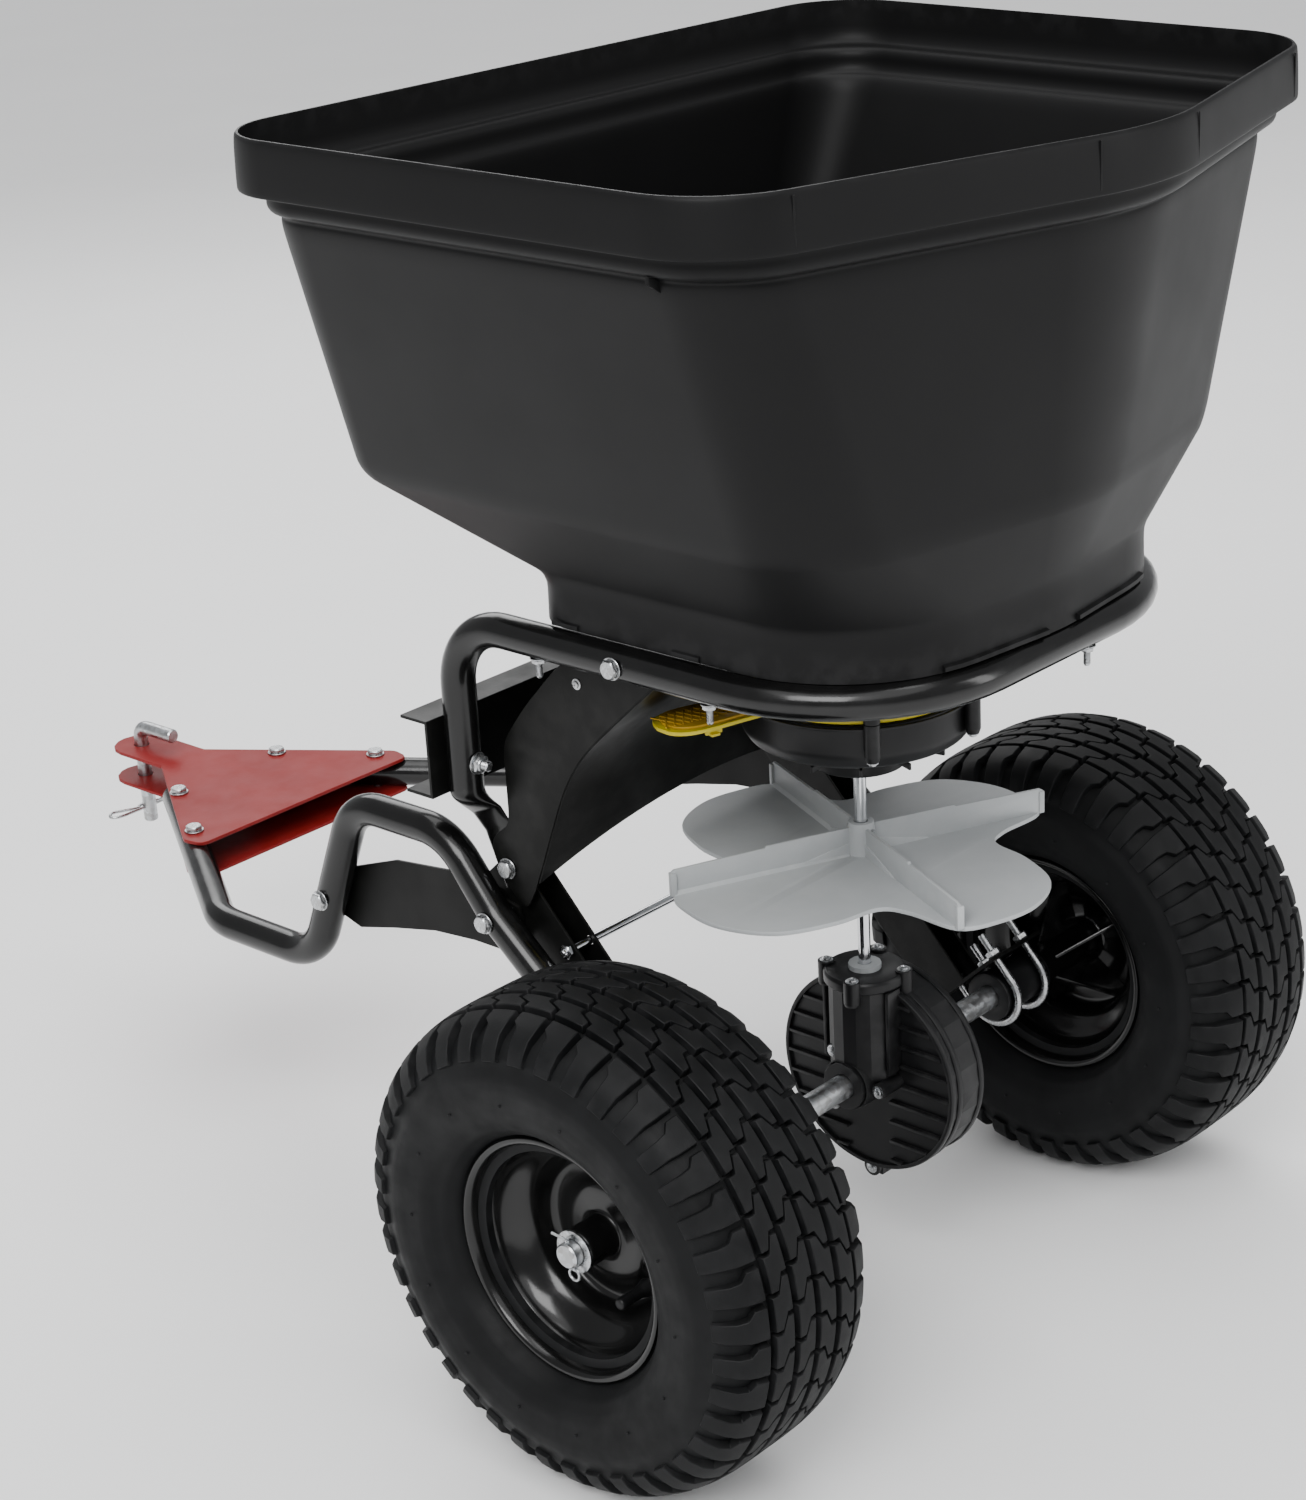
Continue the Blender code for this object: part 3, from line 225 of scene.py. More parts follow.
def make_look(name, colour, roughness, metallic=0.0, tone=0.12, mottle=14, grain=700, depth=0.00012,
              worn=None, wear=0.4, dust=0.0, rough_play=0.08, coat=0.0, swirl=0.0, shine=0.5):
    """A finish with uneven tone and gloss, a fine surface grain, worn edges and dust on top."""
    nodes = Nodes(name)
    patches = nodes.noise(mottle, 4.0)
    dark = [value * (1 - tone) for value in colour]
    light = [min(1.0, value * (1 + tone)) for value in colour]
    mixed = nodes.blend(nodes.spread(patches, 0.35, 0.65, 0, 1), dark, light)
    if worn:
        edge = nodes.add("ShaderNodeNewGeometry").outputs["Pointiness"]
        share = nodes.spread(edge, 0.515, 0.60, 0, wear)
        mixed = nodes.blend(nodes.times(share, nodes.spread(nodes.noise(60, 5.0), 0.45, 0.6, 0, 1)),
                            mixed, worn)
    if dust:
        normal = nodes.add("ShaderNodeNewGeometry").outputs["Normal"]
        split = nodes.add("ShaderNodeSeparateXYZ")
        nodes.link(normal, split.inputs[0])
        upward = nodes.spread(split.outputs["Z"], 0.2, 1.0, 0, dust)
        share = nodes.times(upward, nodes.spread(nodes.noise(22, 6.0), 0.40, 0.70, 0.2, 1))
        mixed = nodes.blend(share, mixed, DUST)
    nodes.link(mixed, nodes.shader.inputs["Base Color"])
    gloss = nodes.spread(nodes.noise(mottle * 2.3, 5.0), 0.3, 0.7, roughness - rough_play,
                         roughness + rough_play)
    nodes.link(gloss, nodes.shader.inputs["Roughness"])
    heights = [(nodes.noise(grain, 2.0), depth)]
    if swirl:
        heights.append((nodes.noise(grain / 18, 3.0), swirl))
    nodes.bump(heights)
    for label, value in (("Metallic", metallic), ("Specular IOR Level", shine), ("Coat Weight", coat),
                         ("Coat Roughness", 0.08)):
        nodes.shader.inputs[label].default_value = value
    LOOKS[name] = nodes.material


def make_zinc(name, roughness, spangle, tone):
    """Zinc plate: bright metal with small crystals of uneven tone and gloss."""
    nodes = Nodes(name)
    crystals = nodes.add("ShaderNodeSeparateColor")
    nodes.link(nodes.cells(spangle), crystals.inputs["Color"])
    patches = nodes.blend(nodes.spread(crystals.outputs["Red"], 0, 1, 0, 1),
                          [0.44 - tone] * 3, (0.52 + tone, 0.54 + tone, 0.56 + tone))
    stain = nodes.spread(nodes.noise(90, 5.0), 0.50, 0.72, 0, 0.35)
    nodes.link(nodes.blend(stain, patches, STAIN), nodes.shader.inputs["Base Color"])
    gloss = nodes.spread(crystals.outputs["Green"], 0, 1, roughness - 0.06, roughness + 0.10)
    nodes.link(gloss, nodes.shader.inputs["Roughness"])
    nodes.bump([(nodes.noise(900, 2.0), 0.00005), (nodes.noise(120, 4.0), 0.00010)])
    nodes.shader.inputs["Metallic"].default_value = 1.0
    LOOKS[name] = nodes.material


make_look("black_plastic", (0.0060, 0.0060, 0.0062), 0.46, tone=0.07, mottle=6, grain=1500, depth=0.00006,
          worn=(0.03, 0.03, 0.031), wear=0.3, shine=0.14, rough_play=0.025, swirl=0.00005)
make_look("black_moulding", (0.0060, 0.0060, 0.0065), 0.40, grain=1200, depth=0.00008,
          worn=(0.04, 0.04, 0.04), shine=0.28)
make_look("black_paint", (0.0035, 0.0035, 0.0035), 0.20, tone=0.15, grain=420, depth=0.00005,
          worn=(0.06, 0.06, 0.06), wear=0.25, coat=0.12, rough_play=0.05, swirl=0.00004, shine=0.35)
make_look("black_sheet", (0.0045, 0.0046, 0.0043), 0.40, grain=520, depth=0.00007,
          worn=(0.05, 0.05, 0.047), wear=0.3, shine=0.14)
make_look("rubber", (0.0045, 0.0048, 0.0052), 0.58, tone=0.22, mottle=26, grain=1100, depth=0.00014,
          worn=(0.016, 0.016, 0.017), wear=0.6, dust=0.012, shine=0.16, swirl=0.00008)
make_look("red_paint", (0.205, 0.010, 0.010), 0.40, tone=0.07, grain=480, depth=0.00006,
          worn=(0.30, 0.05, 0.045), wear=0.3, shine=0.15)
make_look("light_plastic", (0.41, 0.427, 0.435), 0.46, tone=0.04, mottle=8, grain=1300, depth=0.00006,
          worn=(0.50, 0.51, 0.51), shine=0.35)
make_look("yellow_plastic", (0.62, 0.50, 0.010), 0.38, tone=0.10, grain=1000, depth=0.00007,
          worn=(0.80, 0.70, 0.15), shine=0.35)
make_look("amber_plastic", (0.52, 0.30, 0.006), 0.42, tone=0.16, grain=1000, depth=0.00008,
          worn=(0.75, 0.50, 0.08), shine=0.35)
make_look("white_print", (0.75, 0.75, 0.74), 0.45, tone=0.04, grain=1200, depth=0.00004)
make_look("ink", (0.03, 0.03, 0.03), 0.5, tone=0.10, grain=900, depth=0.00003)
make_look("cast", (0.30, 0.30, 0.31), 0.45, metallic=0.8, grain=600)
make_zinc("zinc", 0.30, 600, 0.03)
make_zinc("zinc_axle", 0.34, 260, 0.06)
make_look("chrome", (0.72, 0.73, 0.75), 0.13, metallic=1.0, tone=0.05, grain=1400, depth=0.00002,
          rough_play=0.05)
make_look("floor", (0.90, 0.90, 0.90), 0.80, tone=0.01, mottle=2, grain=60, depth=0.0001, shine=0.1)


# ---------------- pieces

def finish_mesh(shape):
    bmesh.ops.remove_doubles(shape, verts=shape.verts, dist=0.000005)
    bmesh.ops.recalc_face_normals(shape, faces=shape.faces)
    mesh = bpy.data.meshes.new("shape")
    shape.to_mesh(mesh)
    shape.free()
    return mesh


def piece(name, mesh, look, body, stands_for=(), place=(0, 0, 0), turn=None, sharp=35):
    """A visible piece that rides on a body; place is from the foot of the axle."""
    item = placed(name, mesh)
    item.matrix_world = at(*(LINE + Vector(place))) @ (turn or Matrix())
    mesh.materials.clear()
    mesh.materials.append(LOOKS[look])
    mesh.shade_smooth()
    mesh.set_sharp_from_angle(angle=math.radians(sharp))
    SLOTS.get(look, look)
    if stands_for:
        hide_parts(*stands_for)
    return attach(item, body)


def soften_edges(item, width, segments=2):
    weld = item.modifiers.new("weld", "WELD")
    weld.merge_threshold = 0.00001
    bevel = item.modifiers.new("edges", "BEVEL")
    bevel.width = width
    bevel.segments = segments
    bevel.limit_method = "ANGLE"
    bevel.angle_limit = math.radians(30)
    bevel.use_clamp_overlap = True


def dress(node, look, edge=0.0):
    """A finish for a CAD node that stays, with its edges broken."""
    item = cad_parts[node]
    item.data.materials.clear()
    item.data.materials.append(LOOKS[look])
    if edge:
        soften_edges(item, edge)
    SLOTS.get(look, look)


def cut(mesh, tool, place=Matrix()):
    """One mesh with another taken out of it."""
    base = placed("base", mesh)
    cutter = placed("cutter", tool)
    cutter.matrix_world = place
    modifier = base.modifiers.new("cut", "BOOLEAN")
    modifier.operation = "DIFFERENCE"
    modifier.object = cutter
    bpy.context.view_layer.update()
    made = bpy.data.meshes.new_from_object(base.evaluated_get(bpy.context.evaluated_depsgraph_get()))
    for item in (base, cutter):
        bpy.data.objects.remove(item)
    return made


def joined(meshes):
    """Several closed shells as one mesh; each is a mesh or a (mesh, matrix) pair."""
    shape = bmesh.new()
    for entry in meshes:
        mesh, place = entry if isinstance(entry, tuple) else (entry, Matrix())
        mesh = mesh.copy()
        mesh.transform(place)
        shape.from_mesh(mesh)
        bpy.data.meshes.remove(mesh)
    made = bpy.data.meshes.new("joined")
    shape.to_mesh(made)
    shape.free()
    return made


# ---------------- shapes

def polar(radius, azimuth, height=None):
    place = (radius * math.cos(azimuth), radius * math.sin(azimuth))
    return place if height is None else (*place, height)


def circle(radius, steps=24):
    return [polar(radius, math.tau * step / steps) for step in range(steps)]


def sector(first, last, outer, inner, steps):
    """The outline of a stretch of a flat ring between two azimuths, in degrees."""
    angles = np.radians(np.linspace(first, last, steps))
    return [polar(outer, angle) for angle in angles] + [polar(inner, angle) for angle in angles[::-1]]


def corner_arc(before, corner, after, radius, steps):
    """Points on the arc that rounds a corner between two straight runs."""
    to_before = (before - corner).normalized()
    to_after = (after - corner).normalized()
    half_angle = to_before.angle(to_after) / 2
    run = radius / math.tan(half_angle)
    centre = corner + (to_before + to_after).normalized() * radius / math.sin(half_angle)
    start = (corner + to_before * run - centre).normalized()
    end = (corner + to_after * run - centre).normalized()
    return [centre + radius * start.slerp(end, step / steps) for step in range(steps + 1)]


def bent_path(corners, steps=10):
    """An open path; each inner corner is (point, bend radius), and radius 0 keeps it sharp."""
    points = [Vector(corner[0]) for corner in corners]
    path = [points[0]]
    for index in range(1, len(points) - 1):
        radius = corners[index][1]
        if radius:
            path += corner_arc(points[index - 1], points[index], points[index + 1], radius, steps)
        else:
            path.append(points[index])
    return path + [points[-1]]


def rounded_outline(corners, steps=12):
    """A closed outline; each corner is (point, radius)."""
    points = [Vector((*corner[0], 0)) for corner in corners]
    outline = []
    for index, (_, radius) in enumerate(corners):
        after = points[(index + 1) % len(points)]
        if radius:
            outline += corner_arc(points[index - 1], points[index], after, radius, steps)
        else:
            outline.append(points[index])
    return [(point.x, point.y) for point in outline]


def eased(points, reach, steps=4, closed=False):
    """A line with each corner replaced by a short curve, in any number of dimensions."""
    points = [np.array(point, float) for point in points]
    count = len(points)
    line = []
    for index, corner in enumerate(points):
        if not closed and index in (0, count - 1):
            line.append(corner)
            continue
        before = points[index - 1] - corner
        after = points[(index + 1) % count] - corner
        near = min(reach, 0.45 * np.linalg.norm(before))
        far = min(reach, 0.45 * np.linalg.norm(after))
        start = corner + before / np.linalg.norm(before) * near
        end = corner + after / np.linalg.norm(after) * far
        for share in np.linspace(0, 1, steps + 1):
            line.append((1 - share) ** 2 * start + 2 * share * (1 - share) * corner + share ** 2 * end)
    return [tuple(point.tolist()) for point in line]


def flowing(points, steps=6, closed=False):
    """A smooth curve through every point."""
    points = [Vector(point) for point in points]
    count = len(points)
    line = []
    for index in range(count if closed else count - 1):
        if closed:
            p0, p1, p2, p3 = (points[(index + shift) % count] for shift in (-1, 0, 1, 2))
        else:
            p0 = points[max(index - 1, 0)]
            p1, p2 = points[index], points[index + 1]
            p3 = points[min(index + 2, count - 1)]
        for step in range(steps):
            t = step / steps
            line.append(0.5 * (2 * p1 + (p2 - p0) * t + (2 * p0 - 5 * p1 + 4 * p2 - p3) * t ** 2
                               + (3 * p1 - p0 - 3 * p2 + p3) * t ** 3))
    if not closed:
        line.append(points[-1])
    return line


def flowing_flat(points, steps=6, closed=False):
    """A smooth curve through every (x, y) point."""
    return [(point.x, point.y) for point in flowing([(*point, 0) for point in points], steps, closed)]


def offset_line(points, distance):
    """A line moved sideways, to the right of its run."""
    moved = []
    for index, point in enumerate(points):
        before = points[max(index - 1, 0)]
        after = points[min(index + 1, len(points) - 1)]
        run = Vector((after[0] - before[0], after[1] - before[1])).normalized()
        moved.append((point[0] + run.y * distance, point[1] - run.x * distance))
    return moved


def loft(rings, closed=False):
    """A skin between rings of equal count; closed joins the last to the first, else it is capped."""
    shape = bmesh.new()
    rows = [[shape.verts.new(point) for point in ring] for ring in rings]
    pairs = list(zip(rows, rows[1:]))
    if closed:
        pairs.append((rows[-1], rows[0]))
    else:
        shape.faces.new(rows[0])
        shape.faces.new(rows[-1])
    for near, far in pairs:
        for index in range(len(near)):
            after = (index + 1) % len(near)
            shape.faces.new((near[index], near[after], far[after], far[index]))
    return finish_mesh(shape)


def lathe(profile, steps=64, closed=True):
    """A turned shape about Z, from (radius, height) points; open profiles are capped at both ends."""
    return loft([[polar(radius, math.tau * step / steps, height) for step in range(steps)]
                 for radius, height in profile], closed)


def turned(profile, reach, steps, easing=2):
    """A turned part with a hole, from a closed profile with its corners eased."""
    return lathe(eased(profile, reach, easing, closed=True), steps)


def peg(profile, reach=0.0005):
    """A solid turned part with its corners eased."""
    return lathe(eased(profile, reach), 24, closed=False)


def box(low, high, edge=0.0):
    shape = bmesh.new()
    bmesh.ops.create_cube(shape, size=1.0)
    low, high = Vector(low), Vector(high)
    bmesh.ops.scale(shape, vec=high - low, verts=shape.verts)
    bmesh.ops.translate(shape, vec=(low + high) / 2, verts=shape.verts)
    if edge:
        bmesh.ops.bevel(shape, geom=shape.edges[:], offset=edge, segments=2, affect="EDGES", profile=0.5)
    return finish_mesh(shape)


def plate(outline, thickness, holes=(), edge=0.0004):
    """A flat plate in the XY plane with rounded edges and its middle at z = 0."""
    curve = bpy.data.curves.new("outline", "CURVE")
    curve.dimensions = "2D"
    curve.fill_mode = "BOTH"
    curve.extrude = thickness / 2 - edge
    curve.bevel_depth = edge
    curve.bevel_resolution = 1
    curve.offset = -edge
    for loop in (outline, *holes):
        spline = curve.splines.new("POLY")
        spline.points.add(len(loop) - 1)
        for point, place in zip(spline.points, loop):
            point.co = (place[0], place[1], 0, 1)
        spline.use_cyclic_u = True
    scratch = placed("scratch", curve)
    mesh = bpy.data.meshes.new_from_object(scratch.evaluated_get(bpy.context.evaluated_depsgraph_get()))
    bpy.data.objects.remove(scratch)
    shape = bmesh.new()
    shape.from_mesh(mesh)
    bpy.data.meshes.remove(mesh)
    return finish_mesh(shape)


def carried(path, across=None):
    """Each point of a path with two directions square to its run and to each other."""
    ends = [path[0], *path, path[-1]]
    for before, point, after in zip(ends, path, ends[2:]):
        run = (after - before).normalized()
        across = run.orthogonal() if across is None else across
        across = (across - run * across.dot(run)).normalized()
        yield point, across, run.cross(across)


def tube_rings(path, radii, sides):
    """Round sections along a path, one radius for each point."""
    angles = [math.tau * step / sides for step in range(sides)]
    return [[point + radius * (across * math.cos(angle) + beside * math.sin(angle)) for angle in angles]
            for radius, (point, across, beside) in zip(radii, carried([Vector(point) for point in path]))]


def rod(path, radius, sides=16):
    return loft(tube_rings(path, [radius] * len(path), sides))


def pipe(path, radius, wall, sides=32):
    outer = tube_rings(path, [radius] * len(path), sides)
    inner = tube_rings(path, [radius - wall] * len(path), sides)
    return loft(outer + inner[::-1], closed=True)


def band(line, low, high, thickness):
    """A low strip that stands out from a line of (x, y) points, on the right of its run."""
    inner = offset_line(line, -SKIN)
    outer = offset_line(line, thickness)
    rings = [[(*near, low), (*far, low + thickness * 0.4), (*far, high - thickness * 0.4), (*near, high)]
             for near, far in zip(inner, outer)]
    return loft(rings)


# ---------------- fasteners

HEX_STEPS = 24


def hex_ring(flat, height, limit=1.0):
    """A six-sided section; flat is half its width and limit, in corners, rounds its corners off."""
    ring = []
    for step in range(HEX_STEPS):
        angle = math.tau * step / HEX_STEPS
        from_flat = (angle + math.pi / 6) % (math.pi / 3) - math.pi / 6
        corner = flat / math.cos(math.pi / 6)
        ring.append(polar(min(flat / math.cos(from_flat), corner * limit), angle, height))
    return ring


def round_ring(radius, height):
    return [polar(radius, math.tau * step / HEX_STEPS, height) for step in range(HEX_STEPS)]


def hex_body(flat, low, high):
    """Sections of a hexagon whose corners are turned off at both ends."""
    chamfer = flat * 0.13
    return [round_ring(flat * 0.93, low), hex_ring(flat, low + chamfer, 0.97),
            hex_ring(flat, low + 2 * chamfer), hex_ring(flat, high - 2 * chamfer),
            hex_ring(flat, high - chamfer, 0.97), round_ring(flat * 0.93, high)]


def thread(radius, low, high, pitch=0.00125):
    """Sections of a threaded end with a turned tip."""
    rings = []
    count = max(1, int((high - low - 0.0008) / pitch))
    for turn in range(count):
        base = low + turn * pitch
        rings += [round_ring(radius * 0.88, base + 0.0001), round_ring(radius, base + pitch * 0.45),
                  round_ring(radius, base + pitch * 0.55)]
    return rings + [round_ring(radius * 0.88, high - 0.0007), round_ring(radius * 0.70, high)]


def washer_rings(radius, low, high):
    edge = (high - low) * 0.25
    return [round_ring(radius - edge, low), round_ring(radius, low + edge), round_ring(radius, high - edge),
            round_ring(radius - edge, high)]


def bolt(length, tail, radius=0.0040, flat=0.0064, washer=0.0082):
    """A hexagon bolt along +Z from its head to its tail, with washers and a self-locking nut."""
    head, nut_height, disc = 0.0050, 0.0065, 0.0012
    nut_top = length - tail
    under_nut = nut_top - nut_height
    rings = hex_body(flat, 0, head - disc)
    rings += washer_rings(washer, head - disc, head)
    rings += [round_ring(radius, head), round_ring(radius, under_nut)]
    rings += washer_rings(washer, under_nut, under_nut + disc)
    rings += hex_body(flat, under_nut + disc, nut_top - 0.0012)
    rings += [round_ring(flat * 0.86, nut_top - 0.0010), round_ring(flat * 0.78, nut_top)]
    rings += thread(radius, nut_top, length)
    return loft(rings)


def along(axis):
    """Turns local +Z to a direction."""
    return Vector((0, 0, 1)).rotation_difference(Vector(axis)).to_matrix().to_4x4()


def add_bolt(node, axis, tail=0.0060):
    """A bolt in place of a CAD bolt, with its nut at the end the axis points to."""
    axis = Vector(axis)
    length = abs(axis.dot(extent(node)))
    piece(node + "_set", bolt(length, tail), "zinc", "frame", (node,), spot(node) - axis * length / 2,
          along(axis))


def screw(radius=0.0035, height=0.0026):
    """A washer-head screw standing up from z = 0, with a round dimple pressed in its head."""
    profile = [(radius * 1.45, 0), (radius * 1.45, 0.0006), (radius, 0.0009), (radius * 0.92, height * 0.8),
               (radius * 0.55, height), (radius * 0.30, height), (radius * 0.12, height * 0.55)]
    return lathe(profile, 20, closed=False)


def nut(bore, flat, low, high):
    """A loose nut with its hole."""
    return loft(hex_body(flat, low, high) + [round_ring(bore, high), round_ring(bore, low)], closed=True)


def make_bolts():
    for name, side in SIDES.items():
        inward = (-side, 0, 0)
        for place in ("front", "rear"):
            add_bolt("hitch_bolt_" + place + "_" + name, (0, 0, -1))
        add_bolt("gusset_bolt_" + name, inward)
        add_bolt("shield_bolt_" + name, inward)
        add_bolt("tow_bolt_" + name, inward, tail=0.0030)
        add_bolt("leg_bolt_" + name, inward, tail=0.0030)
        add_bolt("cross_channel_bolt_" + name, (0, -1, 0))


def make_u_bolts():
    """U-bolts around the axle bearings: a plain bend, two threaded legs and two nuts."""
    wire, reach, leg, plain = 0.0032, 0.0242, 0.0440, 0.016
    nut_low, nut_high = 0.0237, 0.0292
    turns = 14
    bend = [(0, reach * math.cos(angle), -reach * math.sin(angle)) for angle in np.linspace(0, math.pi, 25)]
    heights = [plain + (leg - plain) * step / turns for step in range(turns + 1)]
    path = [(0, reach, height) for height in heights[::-1]] + [(0, reach, plain * 0.5)] + bend
    path += [(0, -reach, plain * 0.5)] + [(0, -reach, height) for height in heights]
    ridge = [wire * (1.0 if step % 2 else 0.88) for step in range(turns + 1)]
    radii = ridge[::-1] + [wire] * (len(bend) + 2) + ridge
    parts = [loft(tube_rings(path, radii, 16))]
    parts += [(nut(wire * 1.01, 0.0055, nut_low, nut_high), at(0, side * reach, 0))
              for side in SIDES.values()]
    mesh = joined(parts)
    for name in SIDES:
        for place in ("inner", "outer"):
            node = "u_bolt_" + name + "_" + place
            piece(node + "_set", mesh.copy(), "zinc", "frame", (node,), (spot(node).x, 0, AXLE_Z),
                  spin("X", SLANT))


# ---------------- hopper

APEX_ROUND = 0.20


def hopper_outline(half, front, corner, apex, front_round, rear_round):
    """Straight front and sides, with the rear wall bowed out to its middle."""
    return rounded_outline([((-half, front), front_round), ((-half, corner), rear_round),
                            ((0, apex), APEX_ROUND), ((half, corner), rear_round),
                            ((half, front), front_round)])


# half width, front y, rear corner y, rear apex y, front corner radius, rear corner radius
BASE = (0.190, 0.139, -0.160, -0.180, 0.040, 0.115)
KNEE = (0.236, 0.262, -0.160, -0.210, 0.030, 0.080)
SHOULDER = (0.300, 0.2560, -0.152, -0.2400, 0.050, 0.070)
COLLAR = (0.311, 0.2595, -0.160, -0.2530, 0.055, 0.070)
RIM = (0.3255, 0.270, -0.1675, -0.2600, 0.060, 0.075)
HOPPER_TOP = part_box("hopper")[1].z
FOOT_LOW, FOOT_HIGH = 0.5781, 0.5835


def moved_in(form, inset):
    half, front, corner, apex, front_round, rear_round = form
    return (half - inset, front - inset, corner + inset, apex + inset, front_round - inset,
            rear_round - inset)


def level(form, inset, height):
    """One level of the hopper as a row of numbers: its form moved in by the inset, and its height."""
    return (*moved_in(form, inset), height)


def make_hopper():
    """The tub as one skin: up the inside, over the rim, down the outside and back up to the throat."""
    wall, reach = 0.003, 0.0130
    outer = [level(RIM, 0.0015, HOPPER_TOP), level(RIM, -0.0004, HOPPER_TOP - 0.0025),
             level(RIM, -0.0015, 0.8860), level(RIM, -0.0005, 0.8838), level(COLLAR, 0.0012, 0.8850),
             level(COLLAR, 0, 0.8700), level(SHOULDER, 0.0015, 0.8660), level(SHOULDER, 0, 0.8600),
             level(KNEE, 0, 0.6750), level(BASE, 0, 0.6120), level(BASE, -0.0006, 0.5780)]
    inner = [level(BASE, wall, 0.616), level(KNEE, wall, 0.6765), level(SHOULDER, wall, 0.8655),
             level(COLLAR, wall, 0.8700), level(COLLAR, wall, 0.8865), level(RIM, wall, 0.8885),
             level(RIM, wall, HOPPER_TOP)]
    inner_rings, outer_rings = ([[(x, y, height) for x, y in hopper_outline(*form)]
                                 for *form, height in eased(rows, reach, 6)] for rows in (inner, outer))
    floor = inner_rings[0]

    def throat(radius, height):
        return [polar(radius, math.atan2(y, x), height) for x, y, _ in floor]

    lip = [[(x, y, height) for x, y in hopper_outline(*moved_in(BASE, wall))] for height in (0.5780, 0.6085)]
    rings = [throat(0.0700, 0.5200), throat(0.0700, 0.5570)] + inner_rings + outer_rings
    rings += lip + [throat(0.0730, 0.5530), throat(0.0730, 0.5200)]
    piece("hopper_shell", loft(rings, closed=True), "black_plastic", "frame", ("hopper",), sharp=28)


def near(outline, place, count):
    """The stretch of an outline, so many points to each side, around its nearest point to a place."""
    middle = min(range(len(outline)), key=lambda i: (Vector(outline[i]) - Vector(place)).length)
    return [outline[(middle + shift) % len(outline)] for shift in range(-count, count + 1)]


def make_hopper_trim():
    """Small webs under the collar's rear corners, witness lines on the rim and tabs along the base."""
    webs = []
    for side in SIDES.values():
        web = plate([(side * 0.2985, 0.8655), (side * 0.3085, 0.8690), (side * 0.3085, 0.8640),
                     (side * 0.2965, 0.8560)], 0.0030)
        webs.append((web, at(0, -0.1020, 0) @ STAND))
    piece("hopper_webs", joined(webs), "black_plastic", "frame")
    skirt = hopper_outline(*moved_in(RIM, -0.0009))
    marks = []
    for place in ((-0.24, -0.21), (-0.12, -0.24), (0.12, -0.24), (0.24, -0.21)):
        (point,) = near(skirt, place, 0)
        ridge = box((-0.0007, -0.0004, 0.8880), (0.0007, 0.0005, HOPPER_TOP - 0.0030), 0.0002)
        outward = math.atan2(point[1] - 0.02, point[0]) - math.pi / 2
        marks.append((ridge, at(*point, 0) @ spin("Z", outward)))
    piece("hopper_witness_lines", joined(marks), "black_plastic", "frame")
    wall = hopper_outline(*moved_in(BASE, -0.0005))[::-1]
    feet = []
    for side in SIDES.values():
        lines = [[(side * 0.1895, middle + step * 0.004 * side) for step in range(-3, 4)]
                 for middle in (-0.010, 0.100)]
        lines.append(near(wall, (side * 0.075, -0.172), 2)[::-1])
        feet += [band(line, FOOT_LOW, FOOT_HIGH, 0.0030) for line in lines]
    piece("hopper_feet", joined(feet), "black_plastic", "frame")


# ---------------- outlet, gate and housing

RING_RADIUS = 0.085
BORE = 0.0056
PILLARS = [math.radians(azimuth) for azimuth in (45, 225, 283)]
# azimuths and turns in degrees
OUTLETS = (42, 138)
OUTLET_HALF = 20
LEVER = 160
GATE_TURN = 45
SCALE_FIRST = 153
SCALE_SWEEP = 60


def outlet(azimuth):
    """A cutter for the outlet at an azimuth."""
    return plate(sector(azimuth - OUTLET_HALF, azimuth + OUTLET_HALF, 0.062, 0.024, 13), 0.012, edge=0.0001)


def make_outlet():
    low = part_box("outlet_ring")[0].z
    floor = low + 0.003
    ring = turned([(RING_RADIUS, 0.5500), (RING_RADIUS, low), (BORE, low), (BORE, floor), (0.0745, floor),
                   (0.0745, 0.5500)], 0.0008, 96, 3)
    for azimuth in OUTLETS:
        ring = cut(ring, outlet(azimuth), at(0, 0, low + 0.0015))
    piece("outlet_ring_shell", ring, "black_moulding", "frame", ("outlet_ring",))
    ribs = [(peg([(0.0060, 0.5045), (0.0060, 0.5150)]), at(*polar(0.0910, azimuth, 0)))
            for azimuth in PILLARS]
    for azimuth in range(0, 360, 15):
        if 130 < azimuth < 235:
            continue
        rib = box((RING_RADIUS - 0.0005, -0.0009, 0.5160), (RING_RADIUS + 0.0022, 0.0009, 0.5490), 0.0003)
        ribs.append((rib, spin("Z", math.radians(azimuth))))
    piece("outlet_ring_ribs", joined(ribs), "black_moulding", "frame")


def make_scale():
    """Tick marks and a fine rule on the printed strip."""
    dress("rate_scale", "white_print")
    low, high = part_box("rate_scale")
    face = RING_RADIUS + 0.0016
    foot, half_width, proud, ticks = low.z + 0.0015, 0.00022, 0.0003, 32
    marks = []
    for step in range(ticks + 1):
        tall = 0.0105 if step % 4 == 0 else 0.0060
        mark = box((face, -half_width, foot), (face + proud, half_width, foot + tall))
        marks.append((mark, spin("Z", math.radians(SCALE_FIRST + SCALE_SWEEP * step / ticks))))
    rule = [polar(face, math.radians(SCALE_FIRST + SCALE_SWEEP * step / 40)) for step in range(41)]
    marks.append(band(rule, high.z - 0.0030, high.z - 0.0026, proud))
    piece("rate_scale_marks", joined(marks), "ink", "frame")


